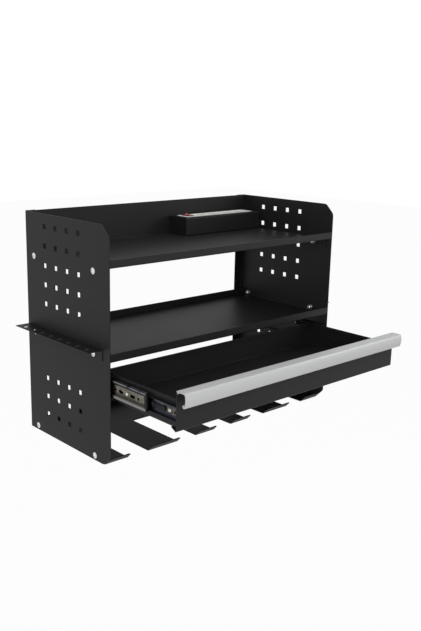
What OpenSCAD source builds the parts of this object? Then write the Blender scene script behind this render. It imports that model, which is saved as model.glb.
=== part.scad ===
// Wall-mounted tool cabinet in folded steel sheet: perforated side panels, two shelves,
// a drawer on three-part ball-bearing slides, a slotted hanger for power tools,
// two screwdriver racks and a power strip.
// The wall is the plane Y = 0, the front faces -Y, and Z = 0 is midway up the wall keyholes.

/* [Cabinet] */
// Width over the outer faces of the side panels
cabinet_w = 610; // [560:1:900]
// Height of the side panels
cabinet_h = 450; // [430:1:600]
// Depth of the side panels from the wall
cabinet_d = 279; // [265:1:340]
// Thickness of the folded sheet
sheet_t = 1.5; // [1:0.1:2]
// Inside radius of every fold
fold_r = 1; // [0.5:0.1:2]

/* [Side panels] */
// Chamfer at the two front corners
corner_cut = 20.6; // [16:0.1:30]
// Radius at both ends of that chamfer
corner_r = 14; // [4:1:18]
// Width of the flange that lies on the wall
rear_flange_w = 23; // [22:1:40]
// Side of the square perforations
peg_size = 10; // [6:0.5:14]
// Distance between perforations
peg_pitch = 38; // [30:1:45]
// Perforations side by side
peg_columns = 4; // [2:1:4]
// Wall to the middle of the first column
peg_rear_gap = 69; // [50:1:80]
// Rows in the upper field
upper_peg_rows = 5; // [2:1:5]
// Top edge to the middle of the top row
upper_peg_drop = 24.3; // [16:0.1:40]
// Rows in the lower field
lower_peg_rows = 3; // [1:1:3]
// Bottom edge to the middle of the lowest row
lower_peg_rise = 45.7; // [30:0.1:60]

/* [Wall keyholes] */
// Height from the lower to the upper keyholes
keyhole_spacing = 360; // [280:1:380]
// Diameter of the hole that the screw head enters
keyhole_entry_d = 12; // [10:0.5:14]
// Width of the slot that holds the screw shank
keyhole_slot_w = 6.5; // [5:0.1:7]
// Length of the slot above the entry hole
keyhole_slot_l = 12; // [9:0.5:16]

/* [Frame bolts] */
// Diameter of the bolts that hold shelves and panels together
bolt_d = 6; // [5:0.5:8]
// Room around a bolt in its hole
bolt_clear = 0.25; // [0.1:0.05:0.5]
// Diameter of the domed head
bolt_head_d = 12; // [10:0.5:15]
// Height of the domed head
bolt_head_h = 3.3; // [2.5:0.1:4.5]
// Width across the flats of the socket in the head
bolt_socket = 4; // [3:0.5:5]
// Depth of that socket
bolt_socket_h = 2; // [1:0.1:2.4]
// Width across the flats of the nuts
nut_flats = 10; // [9:0.5:13]
// Height of the nuts
nut_h = 5; // [4:0.5:7]
// Room around the thread in a nut
thread_gap = 0.1; // [0.05:0.05:0.2]
// Bolt end that stands out of the nut
bolt_tip = 1.5; // [0.5:0.5:4]
// Wall to the rear bolts
bolt_rear_gap = 29.5; // [25:0.5:40]
// Rear to front bolts
bolt_spacing = 200; // [160:1:210]

/* [Top shelf] */
// Bottom edge of the panels to the underside of the shelf
top_shelf_z = 374; // [340:1:380]
// Height of the front lip
top_lip_h = 15; // [8:0.5:25]
// Height of the end flanges, which point down
top_flange_h = 22; // [20:0.5:30]
// Room between the fold and the nuts
top_nut_room = 4.4; // [0.5:0.1:5]
// Room for screw heads between the wall flange and the upstand
upstand_gap = 4.5; // [4:0.1:8]
// Top edge of the panels to the top of the upstand
upstand_drop = 0; // [0:0.5:10]

/* [Middle shelf] */
// Bottom edge of the panels to the underside of the shelf
middle_shelf_z = 202.5; // [202:0.5:230]
// Height of the lips on all four sides
middle_lip_h = 16; // [14:0.5:25]
// Room between the fold and the nuts
middle_nut_room = 0.5; // [0.3:0.1:3]
// Wall to the rear lip
middle_rear_gap = 10; // [3:0.5:15]
// Length of the relief between lips and end flanges
relief_l = 15; // [8:0.5:16]
// Room between lips and side panels
lip_side_gap = 0.5; // [0.3:0.1:2]

/* [Tool hanger] */
// Height of the end flanges
hanger_flange_h = 18; // [16:0.5:30]
// Height of the rear lip
hanger_lip_h = 15; // [8:0.5:25]
// Room between the fold and the nuts
hanger_nut_room = 1.7; // [0.5:0.1:4]
// Wall to the rear lip
hanger_rear_gap = 5; // [2:0.5:10]
// Width of the tool slots
slot_w = 50; // [30:1:60]
// Length of the tool slots behind the bend of the tines
slot_l = 144; // [80:1:180]
// Middle slot to the slots beside it
inner_slot_x = 100; // [75:1:110]
// Middle slot to the outermost slots
outer_slot_x = 225; // [180:1:240]
// Panel front to the bend of the tines
tine_bend_gap = 21; // [18:0.5:30]
// Length of the turned-up tine ends
tine_lip_l = 17; // [8:0.5:18]
// Angle of the turned-up tine ends
tine_angle = 45; // [30:1:60]
// Cut at both corners of the tine ends
tine_cut = 5; // [1:0.5:7]

/* [Screwdriver racks] */
// Length of a rack along its panel
rack_l = 252; // [240:1:265]
// Wall to the rear end of the rack
rack_rear_gap = 5; // [2:0.5:10]
// Width of the perforated top plate
rack_w = 31.5; // [30:0.5:50]
// Height of the flange on the panel
rack_flange_h = 20; // [19:0.5:30]
// Top plate above the bolts
rack_rise = 12; // [10:0.5:18]
// Holes in the top plate
rack_holes = 8; // [4:1:8]
// Diameter of the holes
rack_hole_d = 10.5; // [8:0.5:11]
// Distance between the holes
rack_hole_pitch = 30; // [24:0.5:32]
// Panel to the middle of the holes
rack_hole_out = 21; // [18:0.5:23]

/* [Drawer] */
// How far the drawer stands open
drawer_out = 179; // [0:1:200]
// Bottom edge of the panels to the underside of the drawer front
drawer_z = 125.5; // [115:0.5:127]
// Height of the drawer front
front_h = 70; // [62:0.5:71]
// Room between drawer front and side panels
front_side_gap = 2.5; // [1:0.5:5]
// Depth of the return under the drawer front
front_return = 25; // [12:0.5:40]
// Mitre at each end of the return
front_mitre = 10; // [2:0.5:11]
// Length of the drawer box
box_l = 218; // [180:1:225]
// Height of the drawer box
box_h = 51; // [46:0.5:58]
// Height of the hem along the top of the box
box_hem_h = 8; // [5:0.5:10]
// Width of the flanges behind the drawer front
box_flange_w = 18; // [15:0.5:25]
// Diameter of the studs welded behind the drawer front
stud_d = 5; // [4:0.5:6]
// Lower to upper stud
stud_spacing = 22; // [18:0.5:26]
// Width across the flats of the stud nuts
stud_nut_flats = 8; // [7:0.5:10]
// Height of the stud nuts
stud_nut_h = 4; // [3:0.5:5]

/* [Handle strip] */
// Wall of the extruded strip
handle_t = 1.8; // [1.4:0.1:2.4]
// Drawer front to the foremost line of the strip
handle_reach = 22; // [18:0.5:30]
// Height of the strip
handle_h = 26.4; // [22:0.1:32]
// Radius of its crowned front
handle_face_r = 36; // [30:1:60]
// Top of the strip to its foremost line
handle_bulge = 11.5; // [8:0.5:14]
// Outer radius of the top edge
handle_edge_r = 3; // [2.6:0.1:6]
// Outer radius of the curled lower edge
handle_curl_r = 3.2; // [2.6:0.1:5]
// Room between the strip and the top edge of the drawer front
handle_gap = 0.5; // [0.4:0.1:1]
// Height of the leg that is riveted to the drawer front
leg_h = 10; // [8:0.5:14]
// Height of that leg at the notches in its ends
leg_stub_h = 2.8; // [1:0.1:5]
// Length of those notches
leg_notch_l = 8; // [4:0.5:12]
// Side panels to the ends of the strip
handle_end_gap = 3; // [1:0.5:8]
// Rivets that hold the strip
handle_rivets_n = 6; // [3:1:8]
// End of the strip to the first rivet
handle_rivet_inset = 25; // [15:1:60]
// Diameter of those rivets
handle_rivet_d = 3.2; // [2.4:0.1:4]
// Diameter of their domed heads
handle_rivet_head_d = 6.4; // [5:0.1:8]
// Diameter of their closed ends behind the strip
handle_rivet_tail_d = 4.8; // [4.2:0.1:6]
// Height of the heads and closed ends
handle_rivet_head_h = 1.1; // [0.8:0.1:1.6]

/* [Ball-bearing slides] */
// Height of the outer member
slide_h = 45.6; // [42:0.1:50]
// Length of the outer and inner members
slide_l = 200; // [180:1:200]
// Wall of the rolled members
slide_wall = 1.2; // [1:0.1:1.4]
// Middle of the slides above the underside of the drawer front
slide_rise = 29; // [27:0.5:30]
// Diameter of the outer balls
ball_d = 4.8; // [4.4:0.1:5.2]
// Diameter of the inner balls
inner_ball_d = 3.2; // [3:0.1:3.6]
// Running room between balls, cages and members
race_gap = 0.3; // [0.25:0.05:0.4]
// Room between a ball and its pocket
pocket_gap = 0.15; // [0.1:0.05:0.25]
// Sheet of the ball cages
cage_t = 0.5; // [0.4:0.05:0.55]
// Slope of the step between the two races of the middle member
race_step_a = 50; // [46:1:54]
// Middle member to the web of the inner member
inner_web_gap = 0.8; // [0.5:0.1:1.5]
// Inside radius of the bends of the inner member
slide_bend_r = 1; // [0.6:0.1:1.4]
// Drawer front to the front ends of the slides
slide_front_gap = 0.5; // [0.3:0.1:2]
// Full travel of the drawer
drawer_travel = 200; // [179:1:200]
// Travel of the middle members as a share of the drawer's
middle_share = 0.575; // [0.55:0.005:0.6]
// Middle members end this far behind the outer ones at the front
middle_front_gap = 4; // [3.5:0.1:8]
// Length of the middle members
middle_l = 186; // [180:1:190]
// Length of the end caps of the middle members
middle_cap_l = 3; // [2:0.1:3.2]
// Length of the slots in the middle members
middle_slot_l = 14; // [8:0.5:14]
// Width of the slots and diameter of the holes between them
middle_slot_w = 6; // [3:0.1:6]
// Distance from a slot to the next hole
middle_slot_pitch = 16.5; // [13:0.5:18]
// Front end of a middle member to its first hole
middle_hole_inset = 22.5; // [20:0.5:30]
// Height of the band that is recessed along a middle member
middle_band_h = 18; // [14:0.5:18]
// Depth of that band
middle_sink = 2.5; // [1.5:0.1:2.6]
// Tongue of the end cap in that band
cap_tongue_l = 3; // [2:0.5:8]
// Length of the outer ball cages
outer_cage_l = 82; // [70:1:84]
// Length of the inner ball cages
inner_cage_l = 110; // [100:1:112]
// End bars of the cages
cage_bar = 6; // [4:0.5:7]
// Half height of the window in a cage
cage_window = 10; // [8.5:0.1:11]
// Distance between outer balls
outer_ball_pitch = 8; // [7:0.1:9]
// Distance between inner balls
inner_ball_pitch = 7.5; // [6:0.1:8]
// Diameter of the rivets that hold the outer members
slide_rivet_d = 4; // [3:0.5:5]
// Diameter of their flat heads
slide_rivet_head_d = 8; // [6:0.5:8.5]
// Height of their flat heads
slide_rivet_head_h = 0.7; // [0.5:0.05:0.75]
// Rear end of the slide to the rear rivet
slide_rivet_inset = 25; // [15:1:30]
// Diameter of the screws that hold the inner members
slide_screw_d = 4; // [3:0.5:5]
// Diameter of their heads
slide_screw_head_d = 8; // [6:0.5:10]
// Height of their heads
slide_screw_head_h = 2.4; // [1.5:0.1:3]
// Screw end inside the drawer box
slide_screw_tip = 1; // [1:0.5:4]
// Front end of the slide to the front screw
slide_screw_inset = 26; // [15:1:35]
// Front to rear screw
slide_screw_spacing = 128; // [96:32:160]
// Front end of the slide to its spare hole
spare_hole_inset = 12; // [8:0.5:14]
// Diameter of the spare hole
spare_hole_d = 5; // [4:0.5:6]
// Length of the release levers in the inner members
lever_l = 36; // [24:1:38]
// Width of those levers
lever_w = 6; // [5:0.5:8]
// Thickness of those levers
lever_t = 1.6; // [1.2:0.1:2]
// Diameter of the thumb end and of the pivot of a lever
lever_end_d = 9; // [8:0.5:12]
// Height of thumb end and pivot above the lever
lever_end_h = 0.8; // [0.4:0.1:1]
// Head of the front screw to the lever
lever_gap = 6; // [5:0.5:8]

/* [Power strip] */
// Length over both end caps
strip_l = 232; // [210:1:260]
// Depth from the upstand
strip_d = 59; // [52:0.5:70]
// Height above the shelf
strip_h = 40; // [34:0.5:50]
// Right side panel to the right end cap
strip_side_gap = 10.5; // [8:0.5:20]
// Length of the end caps
strip_cap_l = 14; // [10:0.5:16]
// Wall of the body
strip_wall = 2.5; // [2:0.1:3]
// Radius of the long edges
strip_edge_r = 3; // [2:0.1:4]
// Width of the face
face_w = 36; // [34:0.5:40]
// Face above the body
face_proud = 0.8; // [0.3:0.1:2]
// Rim of the face under the body
face_rim = 3; // [1.5:0.1:3.5]
// Thickness of that rim
face_rim_t = 2; // [1.5:0.1:3]
// Room around what is set into the strip
strip_gap = 0.2; // [0.1:0.05:0.3]
// Outlets in a row
outlet_n = 4; // [2:1:4]
// Side of the outlets
outlet_size = 28; // [26:0.5:30]
// Distance between the outlets
outlet_pitch = 42; // [38:0.5:43]
// Radius of the corners of an outlet
outlet_r = 5; // [2:0.5:8]
// Depth of the outlets
outlet_h = 12; // [9:0.5:15]
// Depth of the outlet surface below the face
outlet_sink = 1.5; // [0.5:0.1:3]
// Blade slots on either side of the middle
blade_gap = 6.35; // [5:0.05:8]
// Length of the blade slots
blade_l = 8; // [6:0.5:10]
// Width of the blade slots
blade_w = 2; // [1.5:0.1:3]
// Diameter of the earth hole
earth_d = 5; // [4:0.5:6]
// Middle of the outlet to the earth hole
earth_x = 9; // [7:0.5:9]
// Height of the bus bars
bus_h = 6; // [4:0.5:8]
// Thickness of the bus bars
bus_t = 1; // [0.8:0.1:1.5]
// Diameter of the cable gland
gland_d = 13; // [10:0.5:16]
// Length of the cable gland
gland_l = 6; // [4:0.5:7]
// Bore of the cable gland
gland_bore = 8; // [6:0.5:9]
// Grooves on an end cap
cap_grooves = 5; // [3:1:7]
// Width and depth of those grooves
cap_groove = 1; // [0.5:0.1:1.5]
// Diameter of the screws that hold the strip
strip_screw_d = 4; // [3:0.5:5]
// Diameter of their heads
strip_screw_head_d = 7; // [6:0.5:9]
// Height of their heads
strip_screw_head_h = 2; // [1.5:0.1:3]
// Ends of the body to the screws
strip_screw_inset = 25; // [15:1:40]

/* [Rocker switch] */
// Length of the rocker from front to back
rocker_l = 18; // [16:0.5:20]
// Width of the rocker
rocker_w = 12; // [10:0.5:13]
// Rim of the frame around the rocker
bezel_rim = 1.5; // [1:0.1:2]
// Wall of the switch box
bezel_wall = 1; // [0.8:0.1:1.2]
// Height of the frame above the face
bezel_proud = 1; // [0.5:0.1:2]
// Depth of the switch box under the face
bezel_h = 15; // [12:0.5:18]
// Tilt of the rocker at either end of its travel
rocker_tilt = 8; // [5:1:10]
// Height of the valley across the rocker over its pivot
rocker_valley = 2; // [1.8:0.1:3]
// Pressed end of the rocker above the frame
rocker_proud = 0.5; // [0.2:0.1:1]
// Depth of the rocker under its pivot
rocker_skirt = 3; // [2:0.5:4]
// Diameter of the rocker's pivots
rocker_pin_d = 2.4; // [2:0.1:3]
// Room between rocker and frame
rocker_gap = 0.4; // [0.3:0.1:0.6]
// Left end of the face to the middle of the switch
rocker_inset = 16; // [10:0.5:18]

/* [Hidden] */
$fn = 48;
over = 1;
arc_steps = 10;
eighth = 45;
quarter = 90;
half_turn = 180;
three_quarters = 270;
full_turn = 360;
hex_half_a = 30;
bevel = tan(eighth / 2);
coat = "#2b2b2d";
zinc = "#c9c9c4";
aluminium = "#c4c6c8";
rail_zinc = "#a8a18c";
rail_dark = "#3a3b3d";
steel = "#d8dadc";
black_plastic = "#1c1c1e";
pale_plastic = "#ecebe6";
grey_plastic = "#cfcfcb";
brass = "#b08d4a";
switch_red = "#b3261e";

// Shared places
base_z = -cabinet_h / 2;
panel_out = cabinet_w / 2;
panel_in = panel_out - sheet_t;
flange_in = panel_in - sheet_t;
fold_out = fold_r + sheet_t;
upstand_y = sheet_t + upstand_gap;
keyhole_x = panel_out - rear_flange_w / 2;

// Heights of the shelves and of the bolts that carry them
top_under = base_z + top_shelf_z;
top_floor = top_under + sheet_t;
middle_under = base_z + middle_shelf_z;
nut_rise = fold_out + nut_flats / 2;
top_bolt_z = top_floor - nut_rise - top_nut_room;
middle_bolt_z = middle_under + nut_rise + middle_nut_room;
hanger_bolt_z = base_z + nut_rise + hanger_nut_room;
bolt_zs = [top_bolt_z, middle_bolt_z, hanger_bolt_z];
bolt_ys = [-bolt_rear_gap, -bolt_rear_gap - bolt_spacing];
bolt_hole_d = bolt_d + 2 * bolt_clear;
strip_half = panel_in - lip_side_gap;
rack_top = middle_bolt_z + rack_rise;
tine_bend_y = -(cabinet_d - tine_bend_gap);
tine_top = base_z + fold_out - fold_r * cos(tine_angle) + tine_lip_l * sin(tine_angle);
slot_xs = [-outer_slot_x, -inner_slot_x, 0, inner_slot_x, outer_slot_x];

// Section of the slides: u runs from the side panel to the drawer, v up from the middle
race_r = ball_d / 2 + race_gap;
inner_race_r = inner_ball_d / 2 + race_gap;
ball_u = race_r + slide_wall;
ball_v = slide_h / 2 - race_r - slide_wall;
race_step = race_r + slide_wall + inner_race_r;
inner_u = ball_u + race_step * cos(race_step_a);
inner_v = ball_v - race_step * sin(race_step_a);
outer_cage_u = slide_wall + race_gap;
middle_web_u = outer_cage_u + cage_t + race_gap;
inner_cage_u = middle_web_u + slide_wall + race_gap;
slide_t = inner_u + inner_race_r + slide_wall + inner_web_gap + slide_wall;
middle_web_a = half_turn + acos((ball_u - middle_web_u - slide_wall) / (race_r + slide_wall));
middle_lip_a = 20;
inner_lip_a = 205;
slide_bend_out = slide_bend_r + slide_wall;
inner_top = inner_v - inner_race_r;

// Places along the slides, closed and as drawn
drawer_face_closed = -cabinet_d;
drawer_face = drawer_face_closed - drawer_out;
slide_front = drawer_face_closed + sheet_t + slide_front_gap;
slide_mid_y = slide_front + slide_l / 2;
slide_z = base_z + drawer_z + slide_rise;
middle_shift = middle_share * drawer_out;
middle_front = slide_front + middle_front_gap - middle_shift;
outer_cage_shift = middle_shift / 2;
inner_cage_shift = (middle_shift + drawer_out) / 2;
outer_cage_travel = middle_share * drawer_travel / 2;
slide_rivet_ys = [slide_mid_y - outer_cage_travel / 2, slide_front + slide_l - slide_rivet_inset];
inner_front = slide_front - drawer_out;
slide_screw_y = inner_front + slide_screw_inset;
slide_screw_ys = [slide_screw_y, slide_screw_y + slide_screw_spacing];
slide_screw_hole_d = slide_screw_d + 2 * thread_gap;
slide_rivet_hole_d = slide_rivet_d + 2 * thread_gap;

// Drawer box and front
front_under = base_z + drawer_z;
front_top = front_under + front_h;
front_half = panel_in - front_side_gap;
box_under = front_under + sheet_t;
box_top = box_under + box_h;
box_out = panel_in - slide_t;
box_in = box_out - sheet_t;
box_front = drawer_face + sheet_t;
box_rear = box_front + box_l;
box_relief = 2 * fold_out;
stud_x = box_out - fold_out - (box_flange_w - fold_out) / 2;
stud_l = sheet_t + stud_nut_h + bolt_tip;
stud_zs = [for (s = [-1, 1]) slide_z + s * stud_spacing / 2];
stud_hole_d = stud_d + 2 * bolt_clear;
handle_half = panel_in - handle_end_gap;
handle_rivet_z = front_top + handle_gap - leg_h / 2;
handle_rivet_step = 2 * (handle_half - handle_rivet_inset) / (handle_rivets_n - 1);
handle_rivet_x = handle_rivet_inset - handle_half;
handle_rivet_xs = [for (i = [0:handle_rivets_n - 1]) handle_rivet_x + i * handle_rivet_step];

// Power strip
strip_right = panel_in - strip_side_gap;
strip_left = strip_right - strip_l;
strip_rear = -(upstand_y + sheet_t);
strip_mid_y = strip_rear - strip_d / 2;
strip_mid_z = top_floor + strip_h / 2;
strip_top = top_floor + strip_h;
body_left = strip_left + strip_cap_l;
body_l = strip_l - 2 * strip_cap_l;
face_top = strip_top + face_proud;
face_under = strip_top - strip_wall - strip_gap - face_rim_t;
strip_screw_xs = [body_left + strip_screw_inset, body_left + body_l - strip_screw_inset];
strip_screw_hole_d = strip_screw_d + 2 * thread_gap;
rocker_x = body_left + rocker_inset;
well_l = rocker_l + 2 * rocker_gap;
well_w = rocker_w + 2 * rocker_gap;
switch_l = well_l + 2 * bezel_wall;
switch_w = well_w + 2 * bezel_wall;
bezel_l = switch_l + 2 * bezel_rim;
bezel_w = switch_w + 2 * bezel_rim;
outlet_zone = rocker_x + bezel_w / 2;
outlet_mid = (outlet_zone + body_left + body_l) / 2;
outlet_xs = [for (i = [0:outlet_n - 1]) outlet_mid + (i - (outlet_n - 1) / 2) * outlet_pitch];
outlet_top = face_top - outlet_sink;
bus_ys = [for (s = [-1, 0, 1]) strip_mid_y + s * blade_gap];
rocker_pivot_z = face_top + bezel_proud + rocker_proud - rocker_valley * cos(rocker_tilt);
well_floor = rocker_pivot_z - rocker_skirt - (rocker_l / 2) * sin(rocker_tilt) - rocker_gap;

// Points along an arc, and the same points without the first
function arc(middle, radius, from_a, to_a) =
  [for (i = [0:arc_steps]) arc_point(middle, radius, from_a + i * (to_a - from_a) / arc_steps)];

function arc_on(middle, radius, from_a, to_a) =
  [for (i = [1:arc_steps]) arc_point(middle, radius, from_a + i * (to_a - from_a) / arc_steps)];

function arc_point(middle, radius, a) = middle + radius * [cos(a), sin(a)];

// Edges of a tine, counted from the left
function tine_left(i) = i == 0 ? -strip_half : slot_xs[i - 1] + slot_w / 2;

function tine_right(i) = i == len(slot_xs) ? strip_half : slot_xs[i] - slot_w / 2;

// Extrudes an outline in Y and Z along X
module along_x(x_start, length) {
  translate([x_start, 0, 0]) rotate([90, 0, 90]) linear_extrude(length) children();
}

// Extrudes an outline in X and Z from y_start towards the front
module toward_front(y_start, length) {
  translate([0, y_start, 0]) rotate([90, 0, 0]) linear_extrude(length) children();
}

module mirrored_pair() {
  children();
  mirror([1, 0, 0]) children();
}

// Wall of a ring between two angles
module ring_part(inner_r, wall, from_a, to_a) {
  rim = arc([0, 0], 2 * (inner_r + wall), from_a, to_a);
  intersection() {
    difference() {
      circle(inner_r + wall);
      circle(inner_r);
    }
    polygon(concat([[0, 0]], rim));
  }
}

// Angle of folded sheet, its outer corner at the origin and its legs along +X and +Y
module folded_l(leg_x, leg_y) {
  translate([fold_out, 0]) square([leg_x - fold_out, sheet_t]);
  translate([0, fold_out]) square([sheet_t, leg_y - fold_out]);
  translate([fold_out, fold_out]) ring_part(fold_r, sheet_t, half_turn, three_quarters);
}

module round_rect(width, height, radius) {
  square([width - 2 * radius, height], center = true);
  square([width, height - 2 * radius], center = true);
  for (x = [-1, 1], y = [-1, 1]) {
    translate([x * (width / 2 - radius), y * (height / 2 - radius)]) circle(radius);
  }
}

module stadium(length, width) {
  square([length - width, width], center = true);
  for (s = [-1, 1]) translate([s * (length - width) / 2, 0]) circle(d = width);
}

// Floor between the side panels with both ends folded up
module ends_up(under, flange_h) {
  for (side = [0, 1]) mirror([side, 0]) {
    translate([panel_in, under]) mirror([1, 0]) folded_l(panel_in + over, flange_h);
  }
}

// Floor between the side panels with both ends folded down
module ends_down(floor_top, flange_h) {
  for (side = [0, 1]) mirror([side, 0]) {
    translate([panel_in, floor_top]) rotate(half_turn) folded_l(panel_in + over, flange_h);
  }
}

module at_bolts(heights) {
  for (y = bolt_ys, z = heights) translate([0, y, z]) children();
}

module bolt_holes(heights) {
  at_bolts(heights) rotate([0, 90, 0]) cylinder(d = bolt_hole_d, h = 2 * cabinet_w, center = true);
}

// Side panels
module panel_outline() {
  front = -cabinet_d;
  top = base_z + cabinet_h;
  cut_end = corner_cut + bevel * corner_r;
  polygon(concat(
    [[0, base_z]],
    arc([front + cut_end, base_z + corner_r], corner_r, three_quarters, half_turn + eighth),
    arc([front + corner_r, base_z + cut_end], corner_r, half_turn + eighth, half_turn),
    arc([front + corner_r, top - cut_end], corner_r, half_turn, quarter + eighth),
    arc([front + cut_end, top - corner_r], corner_r, quarter + eighth, quarter),
    [[0, top]]
  ));
}

module peg_field(rows, lowest_z) {
  for (column = [0:peg_columns - 1], row = [0:rows - 1]) {
    y = -peg_rear_gap - column * peg_pitch;
    z = lowest_z + row * peg_pitch;
    translate([panel_in - over, y - peg_size / 2, z - peg_size / 2]) {
      cube([sheet_t + 2 * over, peg_size, peg_size]);
    }
  }
}

module keyhole(z) {
  translate([keyhole_x, 0, z]) toward_front(over, sheet_t + 2 * over) {
    circle(d = keyhole_entry_d);
    translate([-keyhole_slot_w / 2, 0]) square([keyhole_slot_w, keyhole_slot_l]);
    translate([0, keyhole_slot_l]) circle(d = keyhole_slot_w);
  }
}

module side_panel() {
  top = base_z + cabinet_h;
  difference() {
    intersection() {
      translate([panel_out, 0, base_z]) linear_extrude(cabinet_h) {
        rotate(half_turn) folded_l(rear_flange_w, cabinet_d);
      }
      along_x(0, cabinet_w) panel_outline();
    }
    peg_field(upper_peg_rows, top - upper_peg_drop - (upper_peg_rows - 1) * peg_pitch);
    peg_field(lower_peg_rows, base_z + lower_peg_rise);
    for (s = [-1, 1]) keyhole(s * keyhole_spacing / 2);
    bolt_holes(bolt_zs);
    slide_rivet_holes();
  }
}

module right_side_panel() color(coat) side_panel();

module left_side_panel() color(coat) mirror([1, 0, 0]) side_panel();

// Shelves
module top_shelf() color(coat) difference() {
  union() {
    along_x(-strip_half, 2 * strip_half) {
      translate([-cabinet_d, top_under]) folded_l(relief_l + over, top_lip_h);
      translate([-upstand_y, top_under]) mirror([1, 0]) {
        folded_l(relief_l + over, cabinet_h - upstand_drop - top_shelf_z);
      }
    }
    toward_front(-upstand_y - relief_l, cabinet_d - upstand_y - 2 * relief_l) {
      ends_down(top_floor, top_flange_h);
    }
  }
  bolt_holes([top_bolt_z]);
  strip_screw_holes();
}

module middle_shelf() color(coat) difference() {
  union() {
    along_x(-strip_half, 2 * strip_half) {
      translate([-cabinet_d, middle_under]) folded_l(relief_l + over, middle_lip_h);
      translate([-middle_rear_gap, middle_under]) mirror([1, 0]) {
        folded_l(relief_l + over, middle_lip_h);
      }
    }
    toward_front(-middle_rear_gap - relief_l, cabinet_d - middle_rear_gap - 2 * relief_l) {
      ends_up(middle_under, middle_lip_h);
    }
  }
  bolt_holes([middle_bolt_z]);
}

// Hanger whose tines carry power tools by their handles
module tine_end() {
  bend = [tine_bend_y, base_z + fold_out];
  lip_end = tine_lip_l * [-cos(tine_angle), sin(tine_angle)];
  lip_a = three_quarters - tine_angle;
  rear_y = tine_bend_y + relief_l + over;
  polygon(concat(
    [[rear_y, base_z + sheet_t], [rear_y, base_z]],
    arc(bend, fold_out, three_quarters, lip_a),
    [arc_point(bend, fold_out, lip_a) + lip_end, arc_point(bend, fold_r, lip_a) + lip_end],
    arc(bend, fold_r, lip_a, three_quarters)
  ));
}

// Cuts a corner of a tine end; side is 1 at its left edge and -1 at its right edge
module tine_corner(edge, side) {
  rise = sin(tine_angle);
  toward_front(tine_bend_y, 2 * tine_lip_l) polygon([
    [edge - side * over, tine_top - (tine_cut + over) * rise],
    [edge + side * (tine_cut + over), tine_top + over * rise],
    [edge - side * over, tine_top + over * rise]
  ]);
}

module hanger_floor() difference() {
  toward_front(-hanger_rear_gap - relief_l, -tine_bend_y - hanger_rear_gap - 2 * relief_l) {
    ends_up(base_z, hanger_flange_h);
  }
  for (x = slot_xs) {
    translate([x - slot_w / 2, tine_bend_y, base_z - over]) cube([slot_w, slot_l, sheet_t + 2 * over]);
  }
}

module bottom_tool_hanger() color(coat) difference() {
  union() {
    hanger_floor();
    along_x(-strip_half, 2 * strip_half) {
      translate([-hanger_rear_gap, base_z]) mirror([1, 0]) folded_l(relief_l + over, hanger_lip_h);
    }
    for (i = [0:len(slot_xs)]) along_x(tine_left(i), tine_right(i) - tine_left(i)) tine_end();
  }
  for (i = [0:len(slot_xs)]) {
    tine_corner(tine_left(i), 1);
    tine_corner(tine_right(i), -1);
  }
  bolt_holes([hanger_bolt_z]);
}

module screwdriver_rack() difference() {
  toward_front(-rack_rear_gap, rack_l) {
    translate([-panel_out, rack_top]) rotate(half_turn) folded_l(rack_w, rack_flange_h);
  }
  for (i = [0:rack_holes - 1]) {
    y = -rack_rear_gap - rack_l / 2 + (i - (rack_holes - 1) / 2) * rack_hole_pitch;
    translate([-panel_out - rack_hole_out, y, rack_top - sheet_t - over]) {
      cylinder(d = rack_hole_d, h = sheet_t + 2 * over);
    }
  }
  bolt_holes([middle_bolt_z]);
}

module left_screwdriver_rack() color(coat) screwdriver_rack();

module right_screwdriver_rack() color(coat) mirror([1, 0, 0]) screwdriver_rack();

// Frame bolts and nuts
module dome(diameter, height) {
  dome_r = (diameter * diameter / 4 + height * height) / (2 * height);
  intersection() {
    translate([0, 0, height - dome_r]) sphere(dome_r);
    cylinder(d = diameter, h = height);
  }
}

module hex_prism(flats, height) {
  rotate(hex_half_a) cylinder(d = flats / cos(hex_half_a), h = height, $fn = 6);
}

module frame_bolt(seat_x) {
  end_x = flange_in - nut_h - bolt_tip;
  translate([seat_x, 0, 0]) rotate([0, 90, 0]) difference() {
    union() {
      dome(bolt_head_d, bolt_head_h);
      translate([0, 0, end_x - seat_x]) cylinder(d = bolt_d, h = seat_x - end_x + over);
    }
    translate([0, 0, bolt_head_h - bolt_socket_h]) hex_prism(bolt_socket, bolt_socket_h + over);
  }
}

module frame_bolts() color(zinc) mirrored_pair() {
  at_bolts([top_bolt_z, hanger_bolt_z]) frame_bolt(panel_out);
  at_bolts([middle_bolt_z]) frame_bolt(panel_out + sheet_t);
}

module hex_nut(flats, height, thread_d) difference() {
  hex_prism(flats, height);
  translate([0, 0, -over]) cylinder(d = thread_d + 2 * thread_gap, h = height + 2 * over);
}

module frame_nuts() color(zinc) mirrored_pair() {
  at_bolts(bolt_zs) translate([flange_in - nut_h, 0, 0]) rotate([0, 90, 0]) {
    hex_nut(nut_flats, nut_h, bolt_d);
  }
}

// Ball-bearing slides, drawn for the right side and mirrored for the left
module slide_run(rear_y, length) {
  toward_front(rear_y, length) translate([panel_in, slide_z]) mirror([1, 0]) children();
}

// Outline of a member from the upper half of its section
module mirrored_outline(upper) {
  lower = [for (i = [len(upper) - 1:-1:0]) [upper[i][0], -upper[i][1]]];
  polygon(concat(upper, lower));
}

module outer_section() {
  ball = [ball_u, ball_v];
  mirrored_outline(concat(
    arc(ball, race_r + slide_wall, half_turn, 0),
    arc(ball, race_r, 0, half_turn)
  ));
}

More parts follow.
